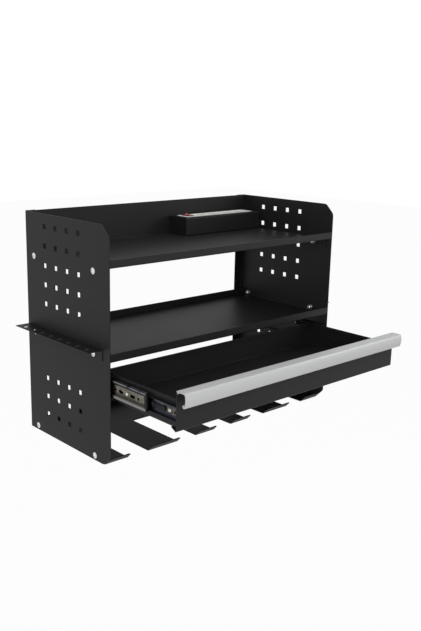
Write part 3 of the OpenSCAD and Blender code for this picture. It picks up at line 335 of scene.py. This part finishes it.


# slide members: a spangled band between two races, a tract of its own along the member (painted
# shade on the middle member), painted shade low on the band and a painted highlight line on the
# upper race
middleLook = {
    "name": "bandedRailZinc", "bandHalf": 0.0098, "soft": 0.0005, "lines": (420, 6, 420),
    "band": ((0.09, 0.082, 0.066), (0.28, 0.26, 0.212)),
    # shade: painted shade over the lower part of the band
    "shade": ((0.02, 0.018, 0.016), (0.085, 0.078, 0.068)),
    "lowerRace": ((0.2, 0.188, 0.184), (0.3, 0.282, 0.274)),
    "upperRace": ((0.012, 0.013, 0.02), (0.05, 0.054, 0.07)),
    # glint: a painted highlight line along the upper race
    "glint": (0.24, 0.24, 0.27), "glintAt": (0.0042, 0.0075),  # heights above the band
    # tract: painted shade over the member's rear part, from tractY back
    "tract": ((0.014, 0.014, 0.015), (0.03, 0.03, 0.03)),
    "tractY": (-0.288, -0.268), "tractHalf": 0.03,
    "rough": (0.2, 0.24), "bump": (0.1, 0.00005),
}
innerLook = {
    "name": "blueRailZinc", "bandHalf": 0.0062, "soft": 0.0008, "lines": (520, 5, 520),
    "band": ((0.012, 0.014, 0.021), (0.05, 0.056, 0.075)),
    # shade: painted shade over the lower part of the band
    "shade": ((0.01, 0.012, 0.018), (0.04, 0.045, 0.06)),
    "lowerRace": ((0.02, 0.023, 0.033), (0.075, 0.082, 0.1)),
    "upperRace": ((0.03, 0.034, 0.046), (0.13, 0.14, 0.165)),
    # glint: a painted highlight line at the band's upper edge
    "glint": (0.14, 0.15, 0.18), "glintAt": (0.0, 0.001),
    "tract": ((0.035, 0.033, 0.028), (0.21, 0.2, 0.165)),
    "tractY": (-0.414, -0.422), "tractHalf": 0.0052,
    "rough": (0.2, 0.2), "bump": (0.1, 0.00005),
}
railLook = {
    "slideZ": -0.0705, "spangle": (380, 260, 380), "cloud": 60,
    "bandShares": {"spangle": 0.55, "cloud": 0.3, "lines": 0.15},
    "bandCloud": (0.35, 0.65), "glintCloud": (0.3, 0.55), "raceLines": (0.35, 0.7),
    "shadeFrom": (0.0005, -0.0055), "shadeWander": 0.003, "tractWander": 0.01,
}


def bandedRail(look):
    made, shader, place = newFinish(look["name"], {"Metallic": 1.0})
    lines = streaks(place, look["lines"])
    cloud = noise(place, railLook["cloud"], detail=4.0)
    cells = place.node("ShaderNodeTexVoronoi", None,
                       {"Vector": stretched(place, railLook["spangle"]), "Scale": 1.0}, "Color")
    spangle = place.node("ShaderNodeSeparateColor", None, {0: cells}, 0)
    streak = shared(cloud, lines, 0.5)
    speckle = shared(spangle, cloud, 0.5)
    share = railLook["bandShares"]
    patches = ramped(cloud, *railLook["bandCloud"])
    bright = spangle * share["spangle"] + patches * share["cloud"] + lines * share["lines"]

    half, soft = look["bandHalf"], look["soft"]
    height = place.node("ShaderNodeSeparateXYZ", None, {0: place}, "Z") - railLook["slideZ"]
    depth = place.node("ShaderNodeSeparateXYZ", None, {0: place}, "Y")
    above = ramped(height, half - soft, half + soft)
    below = ramped(height, soft - half, -soft - half)
    shade = ramped(height + cloud * railLook["shadeWander"], *railLook["shadeFrom"])  # painted shade along the lower part of the band
    # painted highlight: a pale line at glintAt heights, broken up by the cloud
    start, end = (half + reach for reach in look["glintAt"])
    glint = ramped(height, start - soft, start + soft) * (1 - ramped(height, end, end + soft))
    far = height.math("ABSOLUTE", height, 0.0)
    # tract: a colour of its own from tractY back; on the middle member it is painted shade
    tract = ramped(depth + cloud * railLook["tractWander"], *look["tractY"])
    tract = tract * (1 - ramped(far, look["tractHalf"], look["tractHalf"] + soft))

    raceLines = ramped(lines, *railLook["raceLines"])
    colour = blendColour(bright, *look["band"])
    colour = blendPair(shade, colour, blendColour(speckle, *look["shade"]))
    colour = blendPair(below, colour, blendColour(streak, *look["lowerRace"]))
    colour = blendPair(above, colour, blendColour(raceLines, *look["upperRace"]))
    colour = blendPair(glint * ramped(cloud, *railLook["glintCloud"]), colour, (*look["glint"], 1))
    colour = blendPair(tract, colour, blendColour(speckle, *look["tract"]))
    colour.into(shader, "Base Color")
    textured(shader, look, streak, shared(cloud, lines, cloudShare["bump"]))
    return made


# moulded plastic: spark-eroded texture and a slow change of tone
blackPlasticLook = {
    "name": "blackPlastic", "dark": (0.007, 0.007, 0.0075), "light": (0.012, 0.012, 0.0125),
    "texture": 1500, "rough": (0.42, 0.16), "coat": 0.0, "specular": 0.2, "bump": (0.25, 0.00008),
}
facePlasticLook = {
    "name": "paleFacePlastic", "dark": (0.78, 0.77, 0.74), "light": (0.85, 0.84, 0.81),
    "texture": 900, "rough": (0.28, 0.12), "coat": 0.0, "specular": 0.5, "bump": (0.08, 0.00004),
}
outletPlasticLook = {
    "name": "greyOutletPlastic", "dark": (0.5, 0.5, 0.485), "light": (0.6, 0.6, 0.58),
    "texture": 900, "rough": (0.34, 0.14), "coat": 0.0, "specular": 0.5, "bump": (0.1, 0.00004),
}
rockerPlasticLook = {
    "name": "redRockerPlastic", "dark": (0.24, 0.011, 0.011), "light": (0.33, 0.022, 0.02),
    "texture": 500, "rough": (0.2, 0.12), "coat": 0.4, "specular": 0.5, "bump": (0.05, 0.00003),
}
railLacquerLook = {
    "name": "blackRailLacquer", "dark": (0.007, 0.007, 0.0075), "light": (0.013, 0.013, 0.0135),
    "texture": 1100, "rough": (0.36, 0.16), "coat": 0.0, "specular": 0.22, "bump": (0.15, 0.00006),
}
markPlasticLook = {
    "name": "whiteMark", "dark": (0.74, 0.74, 0.73), "light": (0.86, 0.86, 0.85),
    "texture": 700, "rough": (0.4, 0.1), "coat": 0.0, "specular": 0.5, "bump": (0.05, 0.00002),
}
plasticTone = {"scale": 25, "colour": 0.7, "rough": 0.5}  # shares, the rest is texture


def mouldedPlastic(look):
    made, shader, place = newFinish(look["name"], {"Coat Weight": look["coat"],
                                                   "Specular IOR Level": look["specular"]})
    texture = noise(place, look["texture"])
    tone = noise(place, plasticTone["scale"], detail=3.0)
    coloured(shader, look, shared(tone, texture, plasticTone["colour"]))
    textured(shader, look, shared(tone, texture, plasticTone["rough"]), texture)
    return made


coat = powderCoat("blackPowderCoat", coatLook["specular"])
# painted shade: the same coat with less sheen, for the hanger
sheenShadedHangerCoat = powderCoat("sheenShadedPowderCoat", coatLook["hangerShadedSpecular"])
aluminium = satinAluminium()
zinc, litBoltZinc, shadedNutZinc, ballSteel, brass = (
    platedSteel(look) for look in (zincLook, litBoltLook, shadedNutLook, ballLook, brassLook))
railZinc, innerRail = (bandedRail(look) for look in (middleLook, innerLook))
blackPlastic = mouldedPlastic(blackPlasticLook)
facePlastic = mouldedPlastic(facePlasticLook)
outletPlastic = mouldedPlastic(outletPlasticLook)
rockerPlastic = mouldedPlastic(rockerPlasticLook)
railDark = mouldedPlastic(railLacquerLook)
whiteMark = mouldedPlastic(markPlasticLook)


def bothSides(*names):
    return [side + name for name in names for side in ("left_", "right_")]


finishes = {
    coat: ["top_shelf", "middle_shelf", "drawer_box", "drawer_front", "slide_rivets",
           *bothSides("side_panel", "screwdriver_rack")],
    sheenShadedHangerCoat: ["bottom_tool_hanger"],
    litBoltZinc: ["frame_bolts"],
    shadedNutZinc: ["frame_nuts"],
    zinc: ["slide_screws", "drawer_front_nuts", "handle_rivets", "strip_screws",
           *bothSides("outer_cage", "inner_cage")],
    railZinc: bothSides("slide_middle"),
    railDark: bothSides("slide_outer"),
    innerRail: bothSides("slide_inner"),
    ballSteel: bothSides("outer_balls", "inner_balls"),
    aluminium: ["drawer_handle"],
    blackPlastic: ["strip_body", "strip_left_cap", "strip_right_cap", "switch_bezel",
                   *bothSides("middle_cap", "slide_lever")],
    facePlastic: ["strip_face"],
    outletPlastic: ["strip_outlets"],
    brass: ["strip_bus_bars"],
    rockerPlastic: ["switch_rocker"],
}
for finish, names in finishes.items():
    for name in names:
        for slot in nodes[name].material_slots:
            slot.material = finish
print("finishes:", len(finishes), "on the frame")


# pieces laid over the frame, written in millimetres
mm = 0.001
sliver = 0.001  # keeps a divisor off zero
crease = {"turned": 35, "drawn": 40}  # edges steeper than this stay crisp


# closes a bmesh into an object at the origin, its faces outwards
def finishedPiece(name, shape, finish, angle):
    bmesh.ops.recalc_face_normals(shape, faces=shape.faces)
    for face in shape.faces:
        face.smooth = True
    mesh = bpy.data.meshes.new(name)
    shape.to_mesh(mesh)
    shape.free()
    mesh.set_sharp_from_angle(angle=math.radians(angle))
    if finish:
        mesh.materials.append(finish)
    return linked(name, mesh)


# rings of points up the local Z axis: (height, radius), where a radius may be a rule of the angle
def turned(name, rings, points, loop=False):
    shape = bmesh.new()
    circles = []
    for height, rule in rings:
        circle = []
        for step in range(points):
            angle = math.tau * step / points
            radius = rule(angle) if callable(rule) else rule
            point = Vector((radius * math.cos(angle), radius * math.sin(angle), height))
            circle.append(shape.verts.new(point * mm))
        circles.append(circle)
    following = circles[1:] + circles[:1] if loop else circles[1:]
    for lower, upper in zip(circles, following):
        for step in range(points):
            after = (step + 1) % points
            shape.faces.new((lower[step], lower[after], upper[after], upper[step]))
    if not loop:
        shape.faces.new(circles[0])
        shape.faces.new(circles[-1])
    return finishedPiece(name, shape, None, crease["turned"])


def hexagon(acrossFlats, most=None):
    def radius(angle):
        turn = (angle + math.pi / 6) % (math.pi / 3) - math.pi / 6
        reach = acrossFlats / 2 / math.cos(turn)
        return min(reach, most) if most else reach
    return radius


def crossSlot(reach, half):
    def radius(angle):
        turn = (angle + math.pi / 4) % (math.pi / 2) - math.pi / 4
        return min(reach / math.cos(turn), half / max(abs(math.sin(turn)), sliver))
    return radius


def barOutline(halfX, halfY):
    def radius(angle):
        return min(halfX / max(abs(math.cos(angle)), sliver),
                   halfY / max(abs(math.sin(angle)), sliver))
    return radius


# rings from (height, step out from the radius)
def steppedRings(radius, steps):
    return [(height, radius + step) for height, step in steps]


# rings of a spherical cap in to the last radius, those above its rim's own rings
def domeRings(width, height, last, steps, above):
    ball = (width * width / 4 + height * height) / (2 * height)
    radii = [width / 2 + (last - width / 2) * step / steps for step in range(1, steps + 1)]
    rings = [(height - ball + math.sqrt(ball * ball - radius * radius), radius) for radius in radii]
    return [ring for ring in rings if ring[0] > above]


threadTip = {"rise": 0.4, "in": 0.3}


# thread rings from the tip up to just under the head
def threadRings(width, length, pitch, depth, plain):
    top, root = width / 2, width / 2 - depth
    rings = [(-length, root - threadTip["in"]), (-length + threadTip["rise"], root)]
    height = -length + threadTip["rise"] + pitch / 2
    while height < -plain:
        rings += [(height, top), (height + pitch / 2, root)]
        height += pitch
    return rings + [(-plain / 2, top), (0, top)]


# a Geometry Nodes tree with named inputs, given back as wires by name
def newTree(name, inputs):
    tree = bpy.data.node_groups.new(name, "GeometryNodeTree")
    tree.interface.new_socket("Geometry", in_out="INPUT", socket_type="NodeSocketGeometry")
    for label, kind in inputs.items():
        tree.interface.new_socket(label, in_out="INPUT", socket_type="NodeSocket" + kind)
    tree.interface.new_socket("Geometry", in_out="OUTPUT", socket_type="NodeSocketGeometry")
    start = tree.nodes.new("NodeGroupInput")
    return tree, {socket.name: Wire(tree, socket) for socket in start.outputs if socket.name}


def closeTree(tree, shape, finish):
    whole = shape.node("GeometryNodeRealizeInstances", None, {"Geometry": shape})
    painted = whole.node("GeometryNodeSetMaterial", None, {"Geometry": whole, "Material": finish})
    painted.into(tree.nodes.new("NodeGroupOutput"), "Geometry")


# turns local Z to each point's facing attribute
def facingTurn(wire):
    facing = wire.node("GeometryNodeInputNamedAttribute", {"data_type": "FLOAT_VECTOR"},
                       {"Name": "facing"})
    return wire.node("FunctionNodeAlignRotationToVector", {"axis": "Z"}, {"Vector": facing})


def setOutTree():
    tree, given = newTree("setOutParts", {"Part": "Object", "Spin": "Float", "Seed": "Int",
                                          "Finish": "Material"})
    wire = Wire(tree)
    part = wire.node("GeometryNodeObjectInfo", None, {"Object": given["Part"]}, "Geometry")
    angle = wire.node("FunctionNodeRandomValue", {"data_type": "FLOAT"},
                      {2: 0.0 - given["Spin"], 3: given["Spin"], "Seed": given["Seed"]}, 1)
    spun = wire.node("FunctionNodeAxisAngleToRotation", None, {"Angle": angle})
    turn = wire.node("FunctionNodeRotateRotation", {"rotation_space": "LOCAL"},
                     {"Rotation": facingTurn(wire), "Rotate By": spun})
    parts = wire.node("GeometryNodeInstanceOnPoints", None,
                      {"Points": given["Geometry"], "Instance": part, "Rotation": turn})
    closeTree(tree, parts, given["Finish"])
    return tree


rimSteps = {"corner": 2, "bead": 5}


def rimTree():
    tree, given = newTree("holeRims", {"Rows": "Int", "Columns": "Int", "Pitch": "Float",
                                       "Hole": "Float", "Corner": "Float", "Bead": "Float",
                                       "Finish": "Material"})
    wire = Wire(tree)
    grid = wire.node("GeometryNodeMeshGrid", None,
                     {"Size X": (given["Rows"] - 1) * given["Pitch"],
                      "Size Y": (given["Columns"] - 1) * given["Pitch"],
                      "Vertices X": given["Rows"], "Vertices Y": given["Columns"]}, "Mesh")
    square = wire.node("GeometryNodeCurvePrimitiveQuadrilateral", {"mode": "RECTANGLE"},
                       {"Width": given["Hole"], "Height": given["Hole"]})
    rounded = wire.node("GeometryNodeFilletCurve", {"mode": "POLY"},
                        {"Curve": square, "Count": rimSteps["corner"], "Radius": given["Corner"]})
    bead = wire.node("GeometryNodeCurvePrimitiveCircle", {"mode": "RADIUS"},
                     {"Resolution": rimSteps["bead"], "Radius": given["Bead"]}, "Curve")
    rim = wire.node("GeometryNodeCurveToMesh", None, {"Curve": rounded, "Profile Curve": bead})
    field = wire.node("GeometryNodeInstanceOnPoints", None, {"Points": grid, "Instance": rim})
    fields = wire.node("GeometryNodeInstanceOnPoints", None,
                       {"Points": given["Geometry"], "Instance": field,
                        "Rotation": facingTurn(wire)})
    closeTree(tree, fields, given["Finish"])
    return tree


# points with a facing, as the trees read them
def pointMesh(name, places):
    mesh = bpy.data.meshes.new(name)
    mesh.from_pydata([Vector(place) * mm for place, facing in places], [], [])
    facings = mesh.attributes.new("facing", "FLOAT_VECTOR", "POINT")
    facings.data.foreach_set("vector", [value for place, facing in places for value in facing])
    return mesh


# runs a tree on points and keeps its result as a plain mesh
def grow(name, places, tree, values):
    points = linked(name + "Points", pointMesh(name + "Points", places))
    made = points.modifiers.new("grow", "NODES")
    made.node_group = tree
    for item in tree.interface.items_tree:
        if item.in_out == "INPUT" and item.name in values:
            made[item.identifier] = values[item.name]
    result = points.evaluated_get(bpy.context.evaluated_depsgraph_get())
    grown = bpy.data.meshes.new_from_object(result)
    points.modifiers.remove(made)
    bpy.data.objects.remove(points)
    grown.name = name
    if "facing" in grown.attributes:
        grown.attributes.remove(grown.attributes["facing"])
    return linked(name, grown)


setOut = setOutTree()
holeRims = rimTree()


# one shape set out at its places, riding one body, in place of a CAD node where one is named
def fasteners(name, part, places, body, finish, node=None, spin=0.0, seed=1):
    piece = grow(name, places, setOut,
                 {"Part": part, "Spin": spin, "Seed": seed, "Finish": finish})
    bpy.data.objects.remove(part)
    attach(piece, body)
    if node:
        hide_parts(node)


sides = (-1, 1)

# button-head bolts with a hexagon socket
bolts = {
    "head": 12, "rise": 2.1, "rim": ((0, -0.15), (0.15, 0), (0.4, -0.02)),
    "dome": {"last": 2.8, "steps": 7, "above": 0.5},
    "key": 4, "keyDepth": 2, "keyPoint": (0.3, 0.6),  # depth and radius of the drill's point
    "flat": 0.3, "flatEdge": (2.5, 2.36), "lead": 0.25,
    "thread": {"width": 6, "pitch": 1, "depth": 0.45, "plain": 1.2}, "points": 36,
    "y": (-29.5, -229.5),
    "panel": {"seat": 305, "grip": 9.5, "z": (138.6, -215.8)},
    "rack": {"seat": 306.5, "grip": 11, "z": (-14.5,)},
    "spin": 3.14, "seed": 4,
}


def buttonBolt(grip):
    rise, key = bolts["rise"], hexagon(bolts["key"])
    rings = threadRings(length=grip, **bolts["thread"])
    rings += steppedRings(bolts["head"] / 2, bolts["rim"])
    rings += domeRings(bolts["head"], rise, **bolts["dome"])
    top, floor = rise - bolts["flat"], rise - bolts["keyDepth"]
    pointDepth, pointRadius = bolts["keyPoint"]
    rings += [(top, radius) for radius in bolts["flatEdge"]]
    rings += [(top - bolts["lead"], key), (floor, key), (floor - pointDepth, pointRadius)]
    return turned("buttonBolt", rings, bolts["points"])


for where in ("panel", "rack"):
    row = bolts[where]
    places = [((side * row["seat"], y, z), (side, 0, 0))
              for side in sides for y in bolts["y"] for z in row["z"]]
    fasteners(where + "Bolts", buttonBolt(row["grip"]), places, "cabinet", litBoltZinc,
              "frame_bolts", bolts["spin"], bolts["seed"])

# flange nuts on the frame, plain nuts behind the drawer front
nuts = {
    "flats": 10, "height": 5, "bore": 6.2, "flange": 6.2,
    "seat": 302, "y": (-29.5, -229.5), "z": (138.6, -14.5, -215.8),
}
frontNuts = {
    "flats": 8, "height": 4, "bore": 5.2, "flange": None,
    "x": 280.52, "y": -455, "z": (-81.5, -59.5),
}
nutEdge = {
    "washer": 0.475, "soft": 0.527,  # shares of the flats
    "soften": 0.3, "full": 0.6, "lead": 0.4, "flare": 0.35,
    "rim": ((0, -0.15), (0.15, 0), (0.55, -0.05)), "flangeTop": 1.4, "points": 48,
}


def hexNut(name, look):
    flats, height, bore = look["flats"], look["height"], look["bore"] / 2
    soften, full, lead = nutEdge["soften"], nutEdge["full"], nutEdge["lead"]
    washer, mouth = flats * nutEdge["washer"], bore + nutEdge["flare"]
    six, soft = hexagon(flats), hexagon(flats, flats * nutEdge["soft"])
    foot = [(0, washer), (soften, soft), (full, six)]
    if look["flange"]:
        foot = steppedRings(look["flange"], nutEdge["rim"]) + [(nutEdge["flangeTop"], six)]
    crown = [(height - full, six), (height - soften, soft), (height, washer)]
    hole = [(height, mouth), (height - lead, bore), (lead, bore)]
    return turned(name, [(0, mouth)] + foot + crown + hole, nutEdge["points"], True)


places = [((side * nuts["seat"], y, z), (-side, 0, 0))
          for side in sides for y in nuts["y"] for z in nuts["z"]]
fasteners("frameNuts", hexNut("frameNut", nuts), places, "cabinet", shadedNutZinc, "frame_nuts")
places = [((side * frontNuts["x"], frontNuts["y"], z), (0, 1, 0))
          for side in sides for z in frontNuts["z"]]
fasteners("frontNuts", hexNut("frontNut", frontNuts), places, "drawer", zinc,
          "drawer_front_nuts")

# pan-head screws with a cross recess
slideScrews = {
    "head": 8, "rise": 2.4, "shank": 4, "length": 3.7, "slot": (1.9, 0.45),
    "seat": 291.97, "y": (-430, -302), "z": -70.5, "spin": 1.5, "seed": 9,
}
stripScrews = {
    "head": 7, "rise": 2, "shank": 4, "length": 6.5, "slot": (1.7, 0.42),
    "x": (100, 254), "y": -6, "z": 170.5, "spin": 1.5, "seed": 2,
}
panHead = {
    "thread": {"pitch": 0.7, "depth": 0.3, "plain": 0.6},
    "rim": ((0, -0.1), (0.2, 0), (0.6, -0.1)),
    "over": 0.4, "land": 0.45, "steps": 6, "above": 0.7,  # dome past the rim, and round the recess
    "lip": 0.02, "waist": {"rise": 0.5, "reach": 0.7, "half": 0.8}, "foot": (0.38, 0.15),
    "points": 48,
}


def panScrew(name, look):
    rise, (reach, half) = look["rise"], look["slot"]
    waist, (footRise, footRadius) = panHead["waist"], panHead["foot"]
    rings = threadRings(look["shank"], look["length"], **panHead["thread"])
    rings += steppedRings(look["head"] / 2, panHead["rim"])
    rings += domeRings(look["head"] + panHead["over"], rise, reach + panHead["land"],
                       panHead["steps"], panHead["above"])
    rings += [(rings[-1][0] + panHead["lip"], crossSlot(reach, half)),
              (rise * waist["rise"], crossSlot(reach * waist["reach"], half * waist["half"])),
              (rise * footRise, footRadius)]
    return turned(name, rings, panHead["points"])


places = [((side * slideScrews["seat"], y, slideScrews["z"]), (side, 0, 0))
          for side in sides for y in slideScrews["y"]]
fasteners("slideScrews", panScrew("slideScrew", slideScrews), places, "drawer", zinc,
          "slide_screws", slideScrews["spin"], slideScrews["seed"])

# one bright rivet in the band of each middle member, its head inside the recess
railRivets = {
    "wide": 5.8, "rise": 0.7, "back": -1.15, "bevel": (0.15, 0.4), "shoulder": 0.1,
    "dome": {"last": 0.3, "steps": 6, "above": 0.15}, "points": 24,
    "seat": 298.7, "y": -320.425, "z": -70.5,
}


def railRivet():
    wide, back = railRivets["wide"] / 2, railRivets["back"]
    bevelRise, bevelIn = railRivets["bevel"]
    rings = [(back, wide - bevelIn), (back + bevelRise, wide), (railRivets["shoulder"], wide)]
    rings += domeRings(railRivets["wide"], railRivets["rise"], **railRivets["dome"])
    return turned("railRivet", rings, railRivets["points"])


for side, body in zip(sides, ("left_middle", "right_middle")):
    places = [((side * railRivets["seat"], railRivets["y"], railRivets["z"]), (side, 0, 0))]
    fasteners(body + "_rivet", railRivet(), places, body, litBoltZinc)

# push-on caps over the screw tips inside the drawer
tipCaps = {
    "wide": 7, "rise": 2.2, "foot": [(-0.4, 1.5), (0, 3.3), (0.3, 3.5), (0.7, 3.42)],
    "dome": {"last": 0.3, "steps": 6, "above": 0.8}, "points": 24, "seat": 289.27,
}
capRings = tipCaps["foot"] + domeRings(tipCaps["wide"], tipCaps["rise"], **tipCaps["dome"])
places = [((side * tipCaps["seat"], y, slideScrews["z"]), (-side, 0, 0))
          for side in sides for y in slideScrews["y"]]
fasteners("tipCaps", turned("tipCap", capRings, tipCaps["points"]), places, "drawer",
          blackPlastic)

places = [((x, stripScrews["y"], stripScrews["z"]), (0, 1, 0)) for x in stripScrews["x"]]
fasteners("stripScrews", panScrew("stripScrew", stripScrews), places, "cabinet", zinc,
          "strip_screws", stripScrews["spin"], stripScrews["seed"])

# blind rivets through the handle's leg, each with its broken mandrel
handleRivets = {
    "head": 6.4, "rise": 1.1, "rim": ((0, -0.1), (0.12, 0)),
    "land": 0.3, "steps": 5, "above": 0.2,
    "mandrel": 1.9, "stub": ((0.35, 0), (0.55, -0.2)), "stubTop": (0.6, 0.2),
    "shank": 3.2, "grip": 3.3, "tail": 4.8, "tailRise": 1.1, "bevel": 0.2, "points": 24,
    "first": -275.5, "pitch": 110.2, "count": 6, "y": -459.8, "z": -34,
}


def blindRivet():
    look = handleRivets
    shank, tail, mandrel = look["shank"] / 2, look["tail"] / 2, look["mandrel"] / 2
    back, bevel = -look["grip"], look["bevel"]
    end = back - look["tailRise"]
    rings = [(end, mandrel), (end, tail - bevel), (end + bevel, tail), (back - bevel, tail),
             (back, shank), (0, shank)]
    rings += steppedRings(look["head"] / 2, look["rim"])
    rings += domeRings(look["head"], look["rise"], mandrel + look["land"], look["steps"],
                       look["above"])
    rings += steppedRings(mandrel, look["stub"]) + [look["stubTop"]]
    return turned("blindRivet", rings, look["points"])


places = [((handleRivets["first"] + step * handleRivets["pitch"], handleRivets["y"],
            handleRivets["z"]), (0, -1, 0)) for step in range(handleRivets["count"])]
fasteners("handleRivets", blindRivet(), places, "drawer", zinc, "handle_rivets")
print("fasteners: bolts, nuts, screws, rivets and caps set out")

# coat bead around every perforation, on both faces of both panels
rims = {
    "pitch": 38, "hole": 10.2, "corner": 0.7, "bead": 0.28,
    "faces": ((304.95, 1), (303.55, -1)),  # distance from the middle, and facing
    "columns": 4, "y": -126,
    "upper": {"rows": 5, "z": 124.7}, "lower": {"rows": 3, "z": -141.3},
}
for where in ("upper", "lower"):
    row = rims[where]
    places = [((side * face, rims["y"], row["z"]), (side * turn, 0, 0))
              for side in sides for face, turn in rims["faces"]]
    piece = grow(where + "HoleRims", places, holeRims, {
        "Rows": row["rows"], "Columns": rims["columns"], "Pitch": rims["pitch"] * mm,
        "Hole": rims["hole"] * mm, "Corner": rims["corner"] * mm, "Bead": rims["bead"] * mm,
        "Finish": coat})
    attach(piece, "cabinet")
print("perforations: rims grown on both panels")

# handle strip: flange, round edge, bowed face and curled foot in one section, and a leg behind
handle = {
    "half": 300.5, "y": -458, "z": -29.5, "wall": 1.8,  # the section starts at (y, z)
    "flange": 1.5, "seat": 0.5,
    "edge": {"mid": (-17.8865, -0.7), "r": 3, "top": 90, "turn": 165.0737, "steps": 10},
    "face": {"mid": (14, -9.2), "r": 36, "steps": 24},
    "curl": {"mid": (-16.6423, -20.9), "r": 3.2, "start": 200.8981, "end": 450, "steps": 18},
    "leg": {"foot": -9.5, "half": 285, "stub": -2.3, "overlap": 0.3},
    "soften": 0.25, "softenSteps": 2,
}


def arcPoints(arc, inset, start, end):
    (y, z), radius, steps = arc["mid"], arc["r"] - inset, arc["steps"]
    angles = [math.radians(start + (end - start) * step / steps) for step in range(steps + 1)]
    return [(y + radius * math.cos(angle), z + radius * math.sin(angle)) for angle in angles]


def handleSection():
    wall, edge, face, curl = handle["wall"], handle["edge"], handle["face"], handle["curl"]
    outside = [(handle["flange"], handle["seat"] + wall)]
    outside += arcPoints(edge, 0, edge["top"], edge["turn"])
    outside += arcPoints(face, 0, edge["turn"], curl["start"])[1:]
    outside += arcPoints(curl, 0, curl["start"], curl["end"])[1:]
    inside = arcPoints(curl, wall, curl["end"], curl["start"])
    inside += arcPoints(face, wall, curl["start"], edge["turn"])[1:]
    inside += arcPoints(edge, wall, edge["turn"], edge["top"])[1:]
    return outside + inside + [(handle["flange"], handle["seat"])]


# a closed (y, z) outline drawn along X, its end edges softened
def drawnAlong(shape, outline, start, end):
    ends = []
    for x in (start, end):
        points = [Vector((x, handle["y"] + y, handle["z"] + z)) for y, z in outline]
        ends.append([shape.verts.new(point * mm) for point in points])
    caps = [shape.faces.new(ring) for ring in ends]
    for step in range(len(outline)):
        after = (step + 1) % len(outline)
        shape.faces.new((ends[0][step], ends[0][after], ends[1][after], ends[1][step]))
    endEdges = [edge for cap in caps for edge in cap.edges]
    bmesh.ops.recalc_face_normals(shape, faces=shape.faces)
    bmesh.ops.bevel(shape, geom=endEdges, offset=handle["soften"] * mm,
                    segments=handle["softenSteps"], profile=0.5, affect="EDGES")


def handleStrip():
    shape = bmesh.new()
    half, wall, leg = handle["half"], handle["wall"], handle["leg"]
    drawnAlong(shape, handleSection(), -half, half)
    join = handle["seat"] + leg["overlap"]
    lengths = ((-leg["half"], leg["half"], leg["foot"]), (-half, -leg["half"], leg["stub"]),
               (leg["half"], half, leg["stub"]))
    for start, end, foot in lengths:
        drawnAlong(shape, [(-wall, foot), (0, foot), (0, join), (-wall, join)], start, end)
    return finishedPiece("handleStrip", shape, aluminium, crease["drawn"])


piece = handleStrip()
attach(piece, "drawer")
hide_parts("drawer_handle")
print("handle: strip drawn")

# raised marks on the rocker: a bar on its front half and a ring on its rear half
marks = {
    "x": 91, "valley": (-37.278, 192.8), "along": 4.3, "rise": 16,
    "thick": 0.12, "sunk": 0.1, "bar": (0.45, 1.7), "barPoints": 64,
    "ring": (1.05, 1.6), "ringPoints": 40,
}


def rockerMarks():
    top, foot, (inner, outer) = marks["thick"], -marks["sunk"], marks["ring"]
    outline = barOutline(*marks["bar"])
    bar = turned("markBar", [(foot, outline), (top, outline)], marks["barPoints"])
    ring = turned("markRing", [(foot, inner), (foot, outer), (top, outer), (top, inner)],
                  marks["ringPoints"], True)
    shape = bmesh.new()
    for part, way, slope in ((bar, -1, 0), (ring, 1, marks["rise"])):
        tilt = math.radians(slope)
        y = marks["valley"][0] + way * marks["along"] * math.cos(tilt)
        z = marks["valley"][1] + marks["along"] * math.sin(tilt)
        place = Matrix.Translation(Vector((marks["x"], y, z)) * mm)
        part.data.transform(place @ Matrix.Rotation(tilt, 4, "X"))
        shape.from_mesh(part.data)
        bpy.data.objects.remove(part)
    return finishedPiece("rockerMarks", shape, whiteMark, crease["turned"])


piece = rockerMarks()
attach(piece, "rocker")
print("rocker: marks set")
